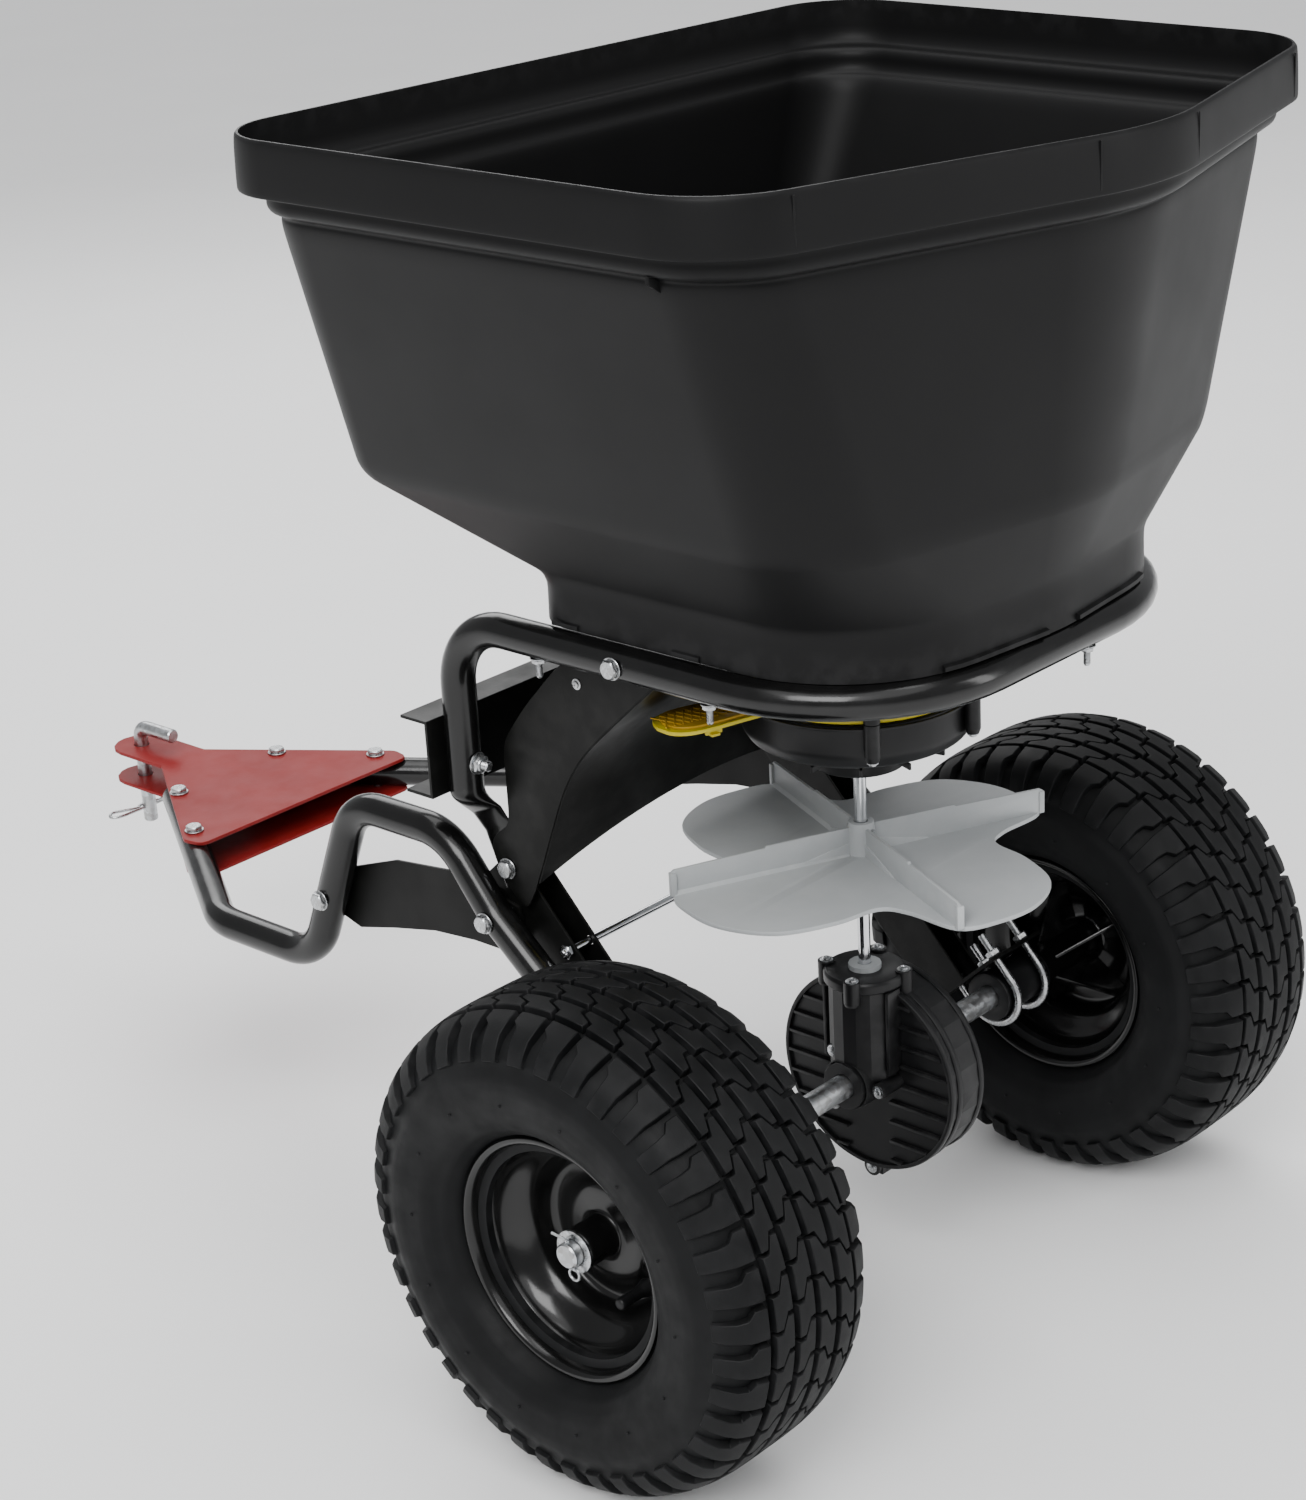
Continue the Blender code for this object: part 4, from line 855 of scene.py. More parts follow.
def make_gate():
    """The disc with its lever, the ribbed grip on the lever and the hook below it."""
    height = spot("gate_lever").z
    turn = spin("Z", math.radians(LEVER))
    rim, half_gap = 0.0825, math.radians(13.5)
    arc = [polar(rim, angle) for angle in np.linspace(half_gap, math.tau - half_gap, 90)]
    edge = flowing_flat([polar(rim, half_gap), (0.105, 0.0205), (0.130, 0.0225), (0.148, 0.0215),
                         (0.159, 0.0140), (0.163, 0)])[1:]
    outline = arc + [(x, -y) for x, y in edge] + edge[::-1][1:]
    disc = plate(outline, 0.003, [circle(BORE)], 0.0005)
    for azimuth in OUTLETS:
        disc = cut(disc, outlet(azimuth - GATE_TURN - LEVER))
    piece("gate_plate", disc, "yellow_plastic", "gate", ("gate_lever",), (0, 0, height), turn)
    root = 0.096
    grip = [(root + (x - root) * 0.93, y * 0.86) for x, y in edge if x > root]
    ribs = [plate([(x, -y) for x, y in grip] + grip[::-1][1:], 0.0024, edge=0.0008)]
    for step in range(9):
        for lean in (-1, 1):
            rib = box((-0.0130, -0.0006, 0.0011), (0.0130, 0.0006, 0.0021), 0.0003)
            ribs.append((rib, at(0.101 + step * 0.0068, 0, 0) @ spin("Z", math.radians(90 + 28 * lean))))
    piece("gate_grip", joined(ribs), "amber_plastic", "gate", (), (0, 0, height + 0.0027), turn)
    hook = [box((0.118, 0.0100, -0.0085), (0.131, 0.0125, -0.0013), 0.0005),
            box((0.121, 0.0080, -0.0095), (0.128, 0.0150, -0.0075), 0.0005)]
    piece("gate_hook", joined(hook), "yellow_plastic", "gate", (), (0, 0, height), turn)


def make_gate_housing():
    """The bowl under the gate with its drop opening, pillars, ribs, clamp ring and screws."""
    bowl = turned([(RING_RADIUS, 0.5000), (RING_RADIUS, 0.4760), (0.0800, 0.4670), (0.0690, 0.4620),
                   (0.0370, 0.4580), (0.0350, 0.4400), (BORE, 0.4400), (BORE, 0.4600), (0.0340, 0.4615),
                   (0.0680, 0.4655), (0.0775, 0.4700), (0.0815, 0.4775), (0.0815, 0.5000)], 0.0030, 96, 4)
    drop = plate(sector(20, 160, 0.066, 0.040, 40), 0.030, edge=0.0001)
    bowl = cut(bowl, drop, at(0, 0, 0.4650))
    piece("gate_housing_bowl", bowl, "black_moulding", "frame", ("gate_housing",))
    bosses, screws = [], []
    for azimuth in PILLARS:
        pillar = peg([(0.0045, 0.4752), (0.0058, 0.4790), (0.0058, 0.5035)])
        bosses.append((pillar, at(*polar(0.0905, azimuth, 0))))
        web = box((0.0780, -0.0012, 0.4790), (0.0880, 0.0012, 0.5000), 0.0004)
        bosses.append((web, spin("Z", azimuth)))
        screws.append((screw(0.0030, 0.0028), at(*polar(0.0905, azimuth, 0.4750)) @ FLIP))
    for azimuth in range(190, 370, 30):
        rib = box((0.0400, -0.0010, 0.4560), (0.0700, 0.0010, 0.4610), 0.0004)
        bosses.append((rib, spin("Z", math.radians(azimuth))))
    clamp = [(0.0870, 0.4985), (0.0870, 0.4965), (0.0852, 0.4965), (0.0852, 0.4985)]
    bosses.append(turned(clamp, 0.0004, 96))
    piece("gate_housing_bosses", joined(bosses), "black_moulding", "frame")
    piece("gate_housing_screws", joined(screws), "zinc", "frame")


# ---------------- impeller and its shaft

IMPELLER_Z = 0.368
VANE_START = math.radians(155)


def make_impeller():
    """A scalloped disc with four upright vanes, each with a stiffener, an end web and a fillet."""
    lobe = ((0, 0.150), (12, 0.157), (25, 0.158), (40, 0.148), (55, 0.122), (70, 0.100), (81, 0.112))
    outline = flowing_flat([polar(radius, VANE_START + math.radians(90 * quarter + degrees))
                            for quarter in range(4) for degrees, radius in lobe], closed=True)
    thickness, bore = 0.0035, 0.0053
    disc = plate(outline, thickness, [circle(bore)], 0.0007)
    piece("impeller_disc", disc, "light_plastic", "spinner", ("impeller",),
          (0, 0, IMPELLER_Z - thickness / 2))
    vane = [(0.0080, -0.0010), (0.1520, -0.0010), (0.1530, 0.0165), (0.1500, 0.0188), (0.0780, 0.0200),
            (0.0765, 0.0214), (0.0080, 0.0214)]
    stiffener = [(0.0100, -0.0010), (0.0560, -0.0010), (0.0540, 0.0010), (0.0100, 0.0100)]
    fillet = [(0, -0.0004), (0.0030, -0.0004), (0, 0.0026)]
    parts = []
    for quarter in range(4):
        turn = spin("Z", VANE_START + quarter * math.pi / 2)
        parts += [(plate(vane, 0.0026, edge=0.0006), turn @ STAND),
                  (plate(stiffener, 0.0046, edge=0.0008), turn @ STAND),
                  (box((0.1490, -0.0022, -0.0010), (0.1535, 0.0034, 0.0168), 0.0007), turn),
                  (plate(fillet, 0.1400, edge=0.0002), turn @ at(0.0810, 0.0012, 0) @ YZ_PLATE)]
    parts.append(turned([(0.0112, -0.0100), (0.0104, 0.0180), (0.0096, 0.0250), (bore, 0.0250),
                         (bore, -0.0100)], 0.0006, 48, 3))
    piece("impeller_vanes", joined(parts), "light_plastic", "spinner", (), (0, 0, IMPELLER_Z))


def make_shaft():
    low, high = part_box("impeller_shaft")
    profile = [(0.0037, low.z), (0.00475, low.z + 0.001), (0.00475, high.z - 0.001), (0.0037, high.z)]
    piece("impeller_shaft_rod", lathe(profile, 32, closed=False), "chrome", "spinner", ("impeller_shaft",))
    height = spot("impeller_pin").z
    pin = rod([(0, -0.0120, height), (0, 0.0120, height)], 0.0016)
    piece("impeller_pin_rod", pin, "zinc", "spinner", ("impeller_pin",))
    dress("agitator", "zinc")
    dress("pinion_gear", "cast")
    dress("crown_gear", "cast", 0.0002)
    dress("shaft_bushing", "light_plastic")


# ---------------- gearbox

# x of the disc's left and right faces, and its radius
GEARBOX_FACE = 0.0020
GEARBOX_FAR_FACE = 0.0370
GEARBOX_DISC = 0.0770


def gearbox_ribs():
    """Level ribs on both faces of the disc, broken around its middle, and three raised hoops."""
    ribs = []
    for step in range(-4, 5):
        height = step * 0.0168 - 0.003
        reach = math.sqrt(GEARBOX_DISC ** 2 - height ** 2)
        gap = 0.0275 if height > 0.004 else 0.0205
        low_z, high_z = AXLE_Z + height - 0.0013, AXLE_Z + height + 0.0013
        for low_y, high_y in ((-reach, -gap), (gap, reach)):
            ribs.append(box((GEARBOX_FACE - 0.0036, low_y, low_z),
                            (GEARBOX_FACE + SKIN, high_y, high_z), 0.0005))
            ribs.append(box((GEARBOX_FAR_FACE - SKIN, low_y, low_z),
                            (GEARBOX_FAR_FACE + 0.0026, high_y, high_z), 0.0005))
    hoop = [(0.0805, 0.0), (0.0812, 0.0015), (0.0812, 0.0045), (0.0805, 0.0055), (0.0775, 0.0055),
            (0.0775, 0.0)]
    for x in (GEARBOX_FACE - 0.0030, GEARBOX_FAR_FACE - 0.0030, 0.0078):
        ribs.append((turned(hoop, 0.0004, 112), at(x, 0, AXLE_Z) @ TO_RIGHT))
    return ribs


def gearbox_bosses():
    """Bosses for the gearbox and the screws that go in them."""
    bosses = [turned([(0.0300, 0.2640), (0.0315, 0.2655), (0.0315, 0.2715), (0.0300, 0.2740),
                      (0.0125, 0.2740), (0.0125, 0.2640)], 0.0006, 64)]
    screws = []
    top = 0.2755
    for azimuth in (20, 110, 200, 290):
        place = polar(0.0305, math.radians(azimuth))
        bosses.append((peg([(0.0058, 0.2560), (0.0066, 0.2580), (0.0066, top)], 0.0006), at(*place, 0)))
        screws.append((screw(), at(*place, top)))
    for y in (-0.0300, 0.0300):
        bosses.append(box((-0.0130, y - 0.0016, 0.1960), (GEARBOX_FACE, y + 0.0016, 0.2640), 0.0006))
    length = 0.0240
    for azimuth in (55, 180, 305):
        y, z = polar(0.0270, math.radians(azimuth))
        ear = peg([(0.0060, 0.0), (0.0060, length)], 0.0006)
        bosses.append((ear, at(GEARBOX_FACE, y, AXLE_Z + z) @ TO_LEFT))
        screws.append((screw(), at(GEARBOX_FACE - length, y, AXLE_Z + z) @ TO_LEFT))
    lug_z = 0.1010
    lug = peg([(0.0075, 0.0), (0.0075, 0.0330)], 0.0006)
    bosses.append((lug, at(GEARBOX_FAR_FACE - 0.0020, 0, lug_z) @ TO_LEFT))
    screws.append((screw(), at(GEARBOX_FACE, 0, lug_z) @ TO_LEFT))
    sleeve = turned([(0.0215, 0.0), (0.0205, 0.0290), (0.0192, 0.0290), (0.0192, 0.0)], 0.0006, 64)
    bosses.append((sleeve, at(GEARBOX_FACE, 0, AXLE_Z) @ TO_LEFT))
    return bosses, screws


def make_gearbox():
    dress("gearbox_case", "black_moulding", 0.0006)
    dress("gearbox_cover", "black_moulding", 0.0006)
    piece("gearbox_ribs", joined(gearbox_ribs()), "black_moulding", "frame")
    bosses, screws = gearbox_bosses()
    piece("gearbox_bosses", joined(bosses), "black_moulding", "frame")
    piece("gearbox_screws", joined(screws), "zinc", "frame")
    bore = 0.0102
    washer = turned([(0.0150, 0), (0.0150, 0.0016), (bore, 0.0016), (bore, 0)], 0.0003, 48)
    collar = turned([(0.0128, 0.0016), (0.0128, 0.0060), (bore, 0.0060), (bore, 0.0016)], 0.0004, 48)
    left = spot("gearbox_case").x - extent("gearbox_case").x / 2
    piece("axle_washer", joined([washer, collar]), "zinc", "frame", (), (left - SKIN, 0, AXLE_Z), TO_LEFT)


# ---------------- axle and wheels

WHEEL_X = abs(spot("tyre_left").x)
TYRE_RADIUS = 0.1850
PITCHES = 40
TREAD_DEPTH = 0.0065
SHOULDER_DEPTH = 0.0032
# right half of the tyre's outside, crown to bead, as (radius, outward) points
SECTION = flowing_flat([(TYRE_RADIUS, 0), (TYRE_RADIUS, 0.0170), (0.1841, 0.0340), (0.1805, 0.0500),
                        (0.1725, 0.0635), (0.1600, 0.0715), (0.1450, 0.0746), (0.1280, 0.0750),
                        (0.1100, 0.0712), (0.0975, 0.0610), (0.0930, 0.0530)])
SECTION_RUN = np.concatenate([[0], np.cumsum([math.dist(a, b) for a, b in zip(SECTION, SECTION[1:])])])


def section_at(run):
    return [np.interp(run, SECTION_RUN, [point[axis] for point in SECTION]) for axis in (0, 1)]


def on_tyre(run, azimuth, lift):
    """A point by its run across the crown, its azimuth and how far it stands above the section."""
    radius, outward = section_at(abs(run))
    next_radius, next_outward = section_at(abs(run) + 0.002)
    slope = Vector((next_radius - radius, next_outward - outward)).normalized()
    return Vector((*polar(radius + slope.y * lift, azimuth), math.copysign(outward - slope.x * lift, run)))


def clamped(value):
    return min(1.0, max(0.0, value))


def skin_rows(shape, rows):
    """Faces between neighbouring rows of vertices."""
    for near_row, far_row in zip(rows, rows[1:]):
        for index in range(len(near_row) - 1):
            shape.faces.new((near_row[index], near_row[index + 1], far_row[index + 1], far_row[index]))


def tread_block(shape, columns, draft=0.0011):
    """A block from columns of (run, first azimuth, last azimuth, base depth), with sloping sides."""
    rows = 4
    swell = draft / TYRE_RADIUS
    leans = [draft] + [0] * (len(columns) - 2) + [-draft]
    top, foot = [], []
    for lean, (run, first, last, depth) in zip(leans, columns):
        top.append([shape.verts.new(on_tyre(run + lean, azimuth, -0.0001))
                    for azimuth in np.linspace(first, last, rows)])
        foot.append([shape.verts.new(on_tyre(run, azimuth, -depth))
                     for azimuth in np.linspace(first - swell, last + swell, rows)])
    skin_rows(shape, top)
    for end in (0, -1):
        skin_rows(shape, [[column[end] for column in top], [column[end] for column in foot]])
    for end in (0, -1):
        skin_rows(shape, [top[end], foot[end]])
    skin_rows(shape, foot)


def tread_mesh():
    """Four rows of arrow-shaped blocks and a row of long lugs on each shoulder."""
    shape = bmesh.new()
    pitch = math.tau / PITCHES
    row_width, groove, chevron, gap = 0.0215, 0.0034, pitch * 0.40, pitch * 0.065
    for row in range(4):
        start = (row - 2) * row_width + groove / 2
        lean = 1 if row < 2 else -1
        for block in range(PITCHES):
            low = (block + 0.5 * (row % 2)) * pitch
            tread_block(shape, [(start + share * (row_width - groove), low + gap + shift * chevron * lean,
                                 low + pitch - gap + shift * chevron * lean, TREAD_DEPTH)
                                for share, shift in ((0, 0), (0.34, 0), (0.62, 1), (1, 1))])
    # run from the last groove, trim at both ends and lag of the far end in pitches, base depth
    lug = ((0, 0.02, 0, TREAD_DEPTH), (0.010, 0.02, 0, TREAD_DEPTH), (0.015, 0.02, -0.20, TREAD_DEPTH),
           (0.023, 0.05, -0.20, 0.0064), (0.033, 0.06, -0.18, 0.0056), (0.043, 0.08, -0.16, 0.0042))
    begin = 2 * row_width + groove / 2
    for side in SIDES.values():
        for block in range(PITCHES):
            tread_block(shape, [(side * (begin + run), (block + 0.08 + trim) * pitch,
                                 (block + 0.92 + lag - trim) * pitch, depth)
                                for run, trim, lag, depth in lug])
    return finish_mesh(shape)


def carcass_mesh():
    """The tyre under its blocks, with its bead and the raised lines on its sidewalls."""
    half = []
    rings = ((0.1350, 0.0012, 0.0007), (0.1150, 0.0010, 0.0006), (0.1010, 0.0022, 0.0011))
    for run, (radius, outward) in zip(SECTION_RUN, SECTION):
        sunk = SHOULDER_DEPTH + (TREAD_DEPTH - SHOULDER_DEPTH) * clamped((0.084 - run) / 0.020)
        point = on_tyre(run, 0, -sunk * clamped((0.100 - run) / 0.010))
        raised = 0
        if run > 0.088:
            raised = sum(height * math.exp(-((radius - ring) / width) ** 2) for ring, width, height in rings)
        half.append((point.x, point.z + raised))
    bead = [(0.0925, 0.0506), (0.0780, 0.0462), (0.0780, 0.0400), (0.0990, 0.0540), (0.1250, 0.0690),
            (0.1600, 0.0640), (0.1785, 0.0300)]
    right = half + bead
    left = [(radius, -outward) for radius, outward in right[1:]][::-1]
    loop = left + right
    dense = []
    for (r0, z0), (r1, z1) in zip(loop, loop[1:]):
        parts = max(1, int(math.dist((r0, z0), (r1, z1)) / 0.0035))
        dense += [(r0 + (r1 - r0) * step / parts, z0 + (z1 - z0) * step / parts) for step in range(parts)]
    return lathe(dense + [loop[-1]], 120)


def rim_mesh():
    """A pressed rim: rolled lips, a stepped barrel and a bowl with a raised middle around the hub."""
    barrel = [(0.0915, 0.0545), (0.0895, 0.0535), (0.0868, 0.0515), (0.0855, 0.0490), (0.0842, 0.0430),
              (0.0800, 0.0385), (0.0785, 0.0320), (0.0755, 0.0270), (0.0600, 0.0195)]
    tyre_side = barrel + [(radius, -height) for radius, height in barrel[::-1]]
    lip = [(0.0918, 0.0558), (0.0895, 0.0564), (0.0868, 0.0552), (0.0848, 0.0515), (0.0828, 0.0440),
           (0.0782, 0.0400)]
    inner_face = [(radius, -height) for radius, height in lip] + [
        (0.0760, -0.0330), (0.0722, -0.0290), (0.0570, -0.0210), (0.0570, -0.0015), (0.0400, -0.0015),
        (0.0340, 0.0060), (0.0155, 0.0060)]
    hub = [(0.0155, -0.0720), (0.0098, -0.0720), (0.0098, 0.0375), (0.0155, 0.0375)]
    outer_face = [(0.0155, 0.0090), (0.0350, 0.0090), (0.0420, 0.0015), (0.0560, 0.0015), (0.0600, 0.0190),
                  (0.0722, 0.0290), (0.0760, 0.0340)] + lip[::-1]
    loop = tyre_side + inner_face + hub + outer_face
    return lathe(eased(loop, 0.0060, 5, closed=True), 96)


def rim_trim():
    """Webs between the hub and the barrel on the inner side, and the hub's weld."""
    shapes = []
    web = [(0.0150, -0.0015), (0.0560, -0.0015), (0.0568, -0.0160), (0.0150, -0.0560)]
    for step in range(5):
        turn = spin("Z", math.tau * step / 5 + 0.3) @ STAND
        shapes.append((plate(web, 0.0028, edge=0.0006), turn))
    bead = [(0.0155 + 0.0022 * math.cos(angle), 0.0092 + 0.0022 * math.sin(angle))
            for angle in np.linspace(0, math.tau, 12, endpoint=False)]
    shapes.append(lathe(bead, 48))
    return joined(shapes)


def valve_mesh():
    profile = [(0.0070, 0), (0.0066, 0.0040), (0.0045, 0.0100), (0.0042, 0.0200), (0.0046, 0.0205),
               (0.0046, 0.0290), (0.0038, 0.0305), (0.0020, 0.0310)]
    return lathe(eased(profile, 0.0006, 2), 24, closed=False)


def cotter_meshes():
    """An open eye over the axle and two legs that splay below it."""
    shapes = []
    wire = 0.0011
    for lean in (-1, 1):
        path = flowing([(0, lean * 0.0011, 0.0110), (0, lean * 0.0011, 0), (0, lean * 0.0011, -0.0100),
                        (0.0015, lean * 0.0030, -0.0130), (0.0030, lean * 0.0100, -0.0165)], 5)
        shapes.append(rod(path, wire, 10))
    eye = [(0, 0.0046 * math.sin(angle), 0.0152 - 0.0046 * math.cos(angle))
           for angle in np.linspace(0.25, math.tau - 0.25, 20)]
    return joined(shapes + [rod(eye, wire, 10)])


def make_wheels():
    tread, carcass, rim, trim = tread_mesh(), carcass_mesh(), rim_mesh(), rim_trim()
    valve, cotter = valve_mesh(), cotter_meshes()
    washer = turned([(0.0160, 0.0010), (0.0160, -0.0010), (0.0100, -0.0010), (0.0100, 0.0010)], 0.0003, 48)
    nub = lathe([(0.0012, 0), (0.0010, 0.0005), (0.0004, 0.0009)], 10, closed=False)
    nubs = [(nub, spin("Z", math.tau * step / 14 + 0.2) @ at(0.1235, 0, face * 0.0751)
             @ (Matrix() if face > 0 else FLIP)) for step in range(14) for face in (-1, 1)]
    legs_up = spin("X", math.radians(168))
    for name, side in SIDES.items():
        body = "free_wheel" if name == "left" else "drive_axle"
        middle = (side * WHEEL_X, 0, AXLE_Z)
        outward = OUTWARD[side]
        blocks = piece("tread_" + name, tread.copy(), "rubber", body, (), middle, outward, sharp=28)
        soften_edges(blocks, 0.0005, 1)
        piece("carcass_" + name, carcass.copy(), "rubber", body, ("tyre_" + name,), middle, outward)
        piece("sidewall_nubs_" + name, joined(nubs), "rubber", body, (), middle, outward)
        piece("wheel_rim_" + name, rim.copy(), "black_paint", body, ("rim_" + name,), middle, outward)
        piece("wheel_webs_" + name, trim.copy(), "black_paint", body, (), middle, outward)
        valve_place = (side * (WHEEL_X + 0.0020), -0.0330, AXLE_Z - 0.0340)
        piece("valve_" + name, valve.copy(), "black_moulding", body, (), valve_place, outward)
        piece("hub_washer_" + name, washer.copy(), "zinc", "drive_axle", ("washer_" + name,),
              spot("washer_" + name), outward)
        node = "cotter_pin_" + name
        piece("hub_cotter_" + name, cotter.copy(), "zinc", "drive_axle", (node,), (spot(node).x, 0, AXLE_Z),
              legs_up if side > 0 else legs_up @ spin("Z", math.pi))


def make_axle():
    low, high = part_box("axle")
    profile = [(0.0083, low.x), (0.0095, low.x + 0.0012), (0.0095, high.x - 0.0012), (0.0083, high.x)]
    piece("axle_rod", lathe(profile, 48, closed=False), "zinc_axle", "drive_axle", ("axle",),
          (0, 0, AXLE_Z), TO_RIGHT)
    dress("drive_pin", "black_paint")
    half = extent("axle_bearing_left").x / 2
    profile = [(0.0200, -half), (0.0200, -half + 0.0040), (0.0188, -half + 0.0050), (0.0188, half - 0.0050),
               (0.0200, half - 0.0040), (0.0200, half), (0.0098, half), (0.0098, -half)]
    bearing = turned(profile, 0.0006, 64)
    for name in SIDES:
        node = "axle_bearing_" + name
        piece(node + "_sleeve", bearing.copy(), "black_moulding", "frame", (node,), spot(node),
              TO_RIGHT)


# ---------------- frame

LOOP_X = 0.1925
LOOP_Z = 0.565
LOOP_REAR_Y = -0.172
LEG_X = 0.1743                         # middle of a leg's pressed end
LEG_Y = 0.21
TUBE_RADIUS = 0.0127
TUBE_WALL = 0.0016


def along_channel(run, offset):
    """The (y, z) of a point by its run up the leg channel and its offset to the front."""
    place = Matrix.Rotation(SLANT, 3, "X") @ Vector((0, offset, run))
    return place.y, AXLE_Z + place.z


def make_frame_loop():
    """The bent tube under the hopper, whose legs end pressed flat around their bolts."""
    end = Vector((-LOOP_X, *along_channel(0.2510, 0.0160)))
    knee = Vector((-LOOP_X, LEG_Y, 0.425))
    half = [(end.lerp(knee, 0.62 * step / 7), 0) for step in range(8)] + [(knee, 0.060)]
    half += [((-LOOP_X, LEG_Y, z), 0) for z in (0.4360, 0.4400, 0.4420)]
    half += [((-LOOP_X, LEG_Y, LOOP_Z), 0.050), ((-LOOP_X, LOOP_REAR_Y, LOOP_Z), 0.125)]
    path = bent_path(half + [((-x, y, z), radius) for (x, y, z), radius in half[::-1]], 12)
    angles = [math.tau * step / 32 for step in range(32)]
    press_top, press_run = 0.434, 0.030
    half_thick, half_wide, widest = 0.0025, 0.0165, 0.0150
    skins = {0: [], TUBE_WALL: []}
    for point, across, beside in carried(path, Vector((1, 0, 0))):
        pressed = clamped((press_top - point.z) / press_run)
        pressed = pressed * pressed * (3 - 2 * pressed)
        middle = point + Vector((pressed * (math.copysign(LEG_X, point.x) - point.x), 0, 0))
        for inset, rings in skins.items():
            narrow = TUBE_RADIUS + pressed * (half_thick - TUBE_RADIUS) - inset
            wide = min(TUBE_RADIUS + pressed * (half_wide - TUBE_RADIUS), widest) - inset
            rings.append([middle + across * narrow * math.cos(angle) + beside * wide * math.sin(angle)
                          for angle in angles])
    loop = loft(skins[0] + skins[TUBE_WALL][::-1], closed=True)
    piece("frame_loop_tube", loop, "black_paint", "frame", ("frame_loop",), sharp=50)


def make_tow_tubes():
    height = 0.245
    for name, side in SIDES.items():
        x = side * 0.190
        path = bent_path([((side * 0.0410, 0.7500, height),), ((x, 0.5155, height), 0.060),
                          ((x, 0.4000, height), 0.046), ((x, 0.3380, 0.3910), 0.042),
                          ((x, 0.2375, 0.3910), 0.050), ((x, 0.1945, 0.3370), 0.060),
                          ((x, 0.0533, 0.2174),)], 12)
        tube = pipe(path, TUBE_RADIUS, TUBE_WALL)
        piece("tow_tube_" + name + "_pipe", tube, "black_paint", "frame", ("tow_tube_" + name,), sharp=50)


SHIELD_LINE = [(0.0160, 0.5615), (0.0620, 0.5205), (0.1030, 0.4815), (0.1250, 0.4495), (0.1400, 0.4155),
               (0.1490, 0.3930), (0.1600, 0.3645)]


def make_shield():
    """The curved sheet, cut to an arch below and a hollow at the outlet, and its two end flanges."""
    line = flowing_flat(SHIELD_LINE, 5)
    half_width, thickness = extent("shield").x / 2, 0.0020
    sheet = plate(line + offset_line(line, thickness)[::-1], 2 * half_width - thickness, edge=0.0002)
    sheet.transform(YZ_PLATE)
    arch_radius, hollow_radius = 0.495, 0.100
    arch = lathe([(arch_radius, -0.080), (arch_radius, 0.080)], 256, closed=False)
    sheet = cut(sheet, arch, at(0, 0.150, 0.400 - arch_radius) @ STAND)
    hollow = lathe([(hollow_radius, -0.080), (hollow_radius, 0.080)], 96, closed=False)
    sheet = cut(sheet, hollow, at(0, 0, 0.530))
    toe = [(0.1615, 0.3600), (0.1727, 0.3400), (0.1950, 0.3640), (0.2030, 0.3820), (0.2010, 0.3950)]
    front = [(0.1835, 0.4060), (0.1835, 0.4720), (0.1597, 0.5034), (0.1227, 0.5430)]
    top = [(0.0900, 0.5640), (0.0600, 0.5735), (0.0300, 0.5735), (0.0130, 0.5630)]
    crescent = offset_line(line, thickness / 2)[4:-4] + eased(toe + front + top, 0.012, 5)
    flange = plate(crescent, thickness, edge=0.0005)
    flanges = [(flange, at(side * (half_width - thickness / 2), 0, 0) @ YZ_PLATE) for side in SIDES.values()]
    piece("shield_sheet", joined([sheet] + flanges), "black_sheet", "frame", ("shield",), sharp=40)


def make_sheet_metal():
    for node in ("cross_channel", "leg_channel_left", "leg_channel_right", "tow_gusset_left",
                 "tow_gusset_right"):
        dress(node, "black_sheet", 0.0005)
    for node in ("hitch_plate_top", "hitch_plate_bottom"):
        dress(node, "red_paint", 0.0006)


def make_cross_rod():
    """A plain rod with a nut and a short thread at each end."""
    half = extent("cross_rod").x / 2
    radius, flat, nut_height, tail = 0.0032, 0.0052, 0.0045, 0.0030
    grip = half - tail - nut_height
    rings = [[(x, y, -half + tail - z) for x, y, z in ring] for ring in thread(radius, 0, tail)[::-1]]
    rings += hex_body(flat, -half + tail, -grip)
    rings += [round_ring(radius, -grip), round_ring(radius, grip)]
    rings += hex_body(flat, grip, half - tail) + thread(radius, half - tail, half)
    piece("cross_rod_set", loft(rings), "chrome", "frame", ("cross_rod",), spot("cross_rod"),
          TO_RIGHT)


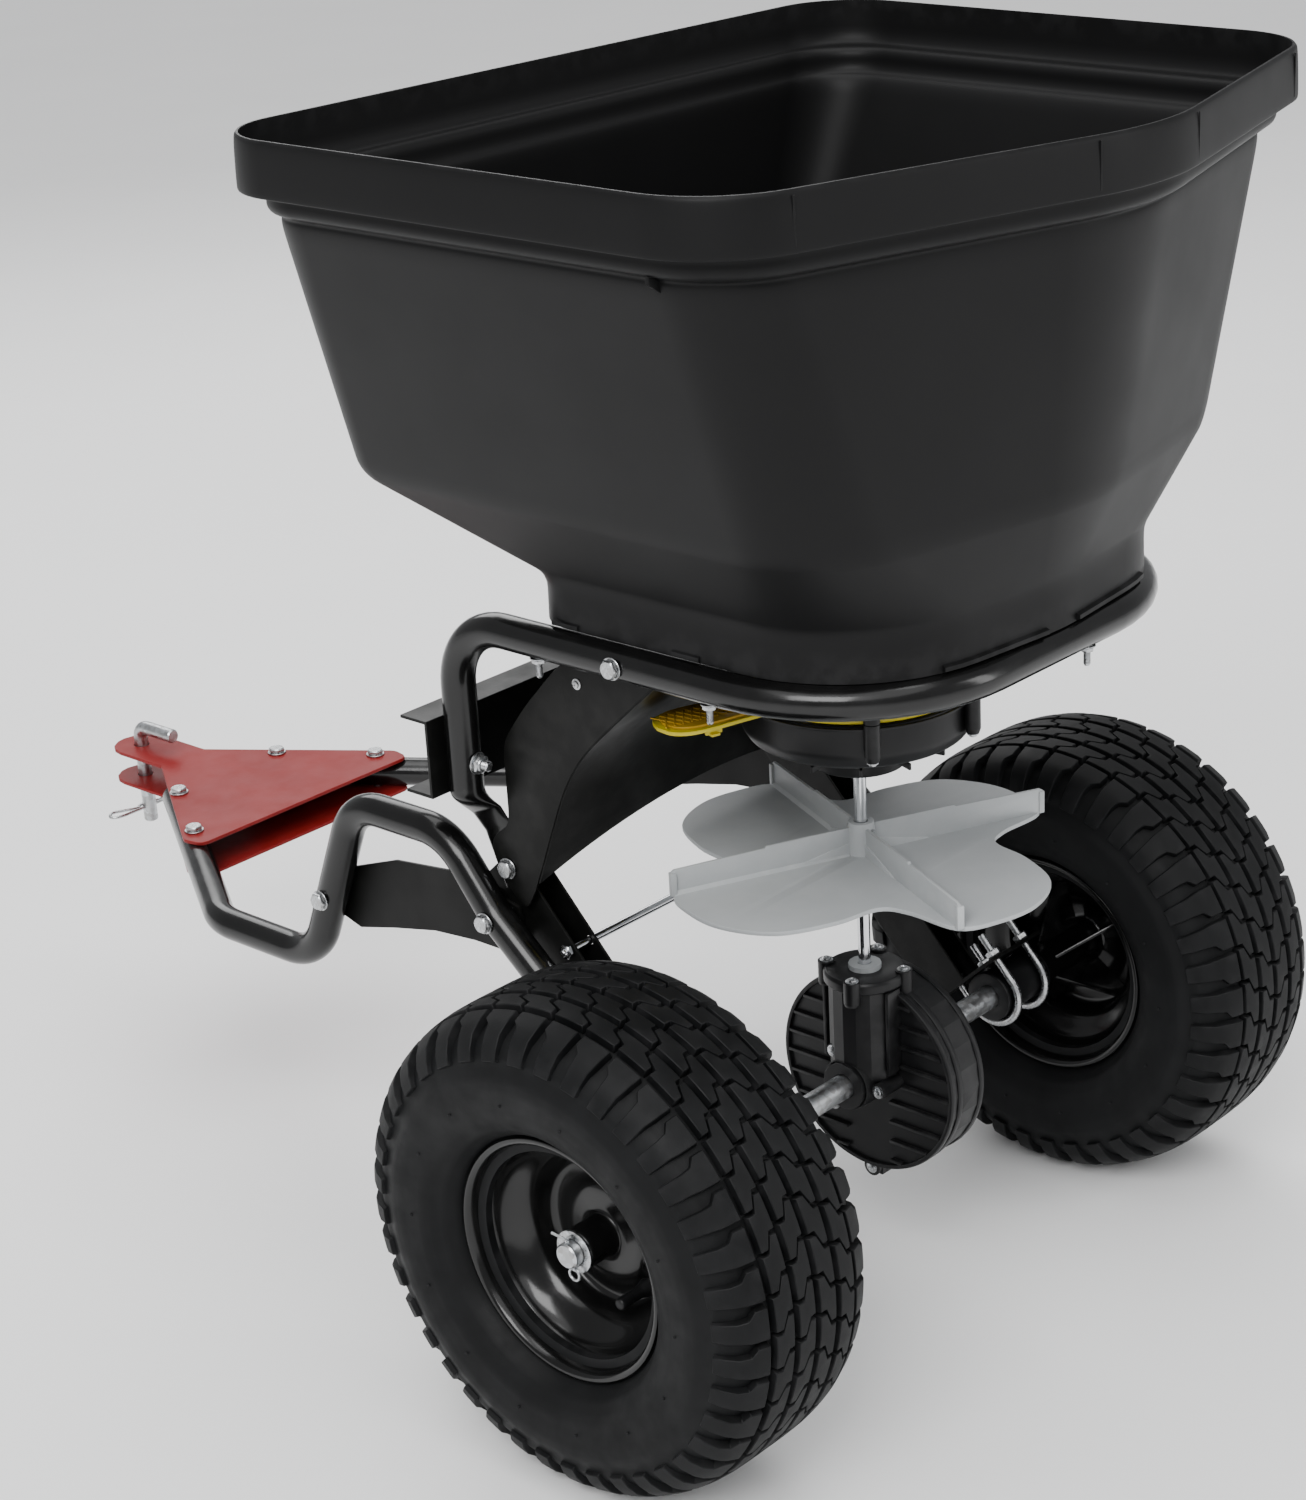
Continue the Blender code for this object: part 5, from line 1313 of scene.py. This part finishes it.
def make_studs():
    """Threaded studs that hold the hopper down, with nuts under the loop, and the shield's screws."""
    top = LOOP_Z - TUBE_RADIUS + SKIN
    studs = []
    for x, y in ((-LOOP_X, 0.127), (LOOP_X, 0.127), (-LOOP_X, -0.030), (LOOP_X, -0.030),
                 (0.040, LOOP_REAR_Y)):
        rings = washer_rings(0.0062, 0, 0.0010) + hex_body(0.0044, 0.0010, 0.0045)
        rings += [round_ring(0.0028, 0.0046)] + thread(0.0025, 0.0048, 0.0150, 0.0008)
        studs.append((loft(rings), at(x, y, top) @ FLIP))
    piece("hopper_studs", joined(studs), "zinc", "frame")
    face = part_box("shield")[1].x
    screws = [(screw(0.0028, 0.0024), at(side * face, y, z) @ OUTWARD[side])
              for side in SIDES.values() for y, z in ((0.075, 0.5520), (0.105, 0.5330))]
    piece("shield_screws", joined(screws), "zinc", "frame")


# ---------------- hitch pin

def make_hitch_pin():
    """The bent pin with chamfered ends, and its hairpin clip."""
    low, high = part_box("hitch_pin")
    y, radius, chamfer, arm = 0.846, 0.00635, 0.0012, 0.0480
    top = high.z - radius
    path = bent_path([((0, y, low.z + chamfer),), ((0, y, top), 0.011), ((0, y - arm + chamfer, top),)], 14)
    path = [(0, y, low.z)] + path + [(0, y - arm, top)]
    radii = [radius * 0.84] + [radius] * (len(path) - 2) + [radius * 0.84]
    piece("hitch_pin_rod", loft(tube_rings(path, radii, 28)), "zinc_axle", "hitch_pin_set",
          ("hitch_pin",), (spot("hitch_pin").x, 0, 0))
    wire = 0.0014
    clear = radius + wire + SKIN
    points = [(0.0200, 0, 0), (-0.0300, 0, 0), (-0.0370, 0.0020, 0), (-0.0400, 0.0065, 0),
              (-0.0370, 0.0110, 0), (-0.0300, 0.0130, 0), (-0.0120, 0.0040, 0), (-0.0070, 0.0065, 0),
              (0.0000, clear + 0.0004, 0), (0.0070, 0.0065, 0), (0.0150, 0.0040, 0), (0.0220, 0.0060, 0)]
    path = [points[0]] + flowing(points[1:])
    piece("hitch_clip", rod(path, wire, 12), "zinc", "hitch_pin_set", ("hitch_hairpin",),
          (0, y, spot("hitch_hairpin").z))


for make in (make_camera, make_studio, make_hopper, make_hopper_trim, make_outlet, make_scale,
             make_gate, make_gate_housing, make_impeller, make_shaft, make_gearbox, make_axle,
             make_wheels, make_frame_loop, make_tow_tubes, make_shield, make_sheet_metal,
             make_cross_rod, make_studs, make_bolts, make_u_bolts, make_hitch_pin):
    make()
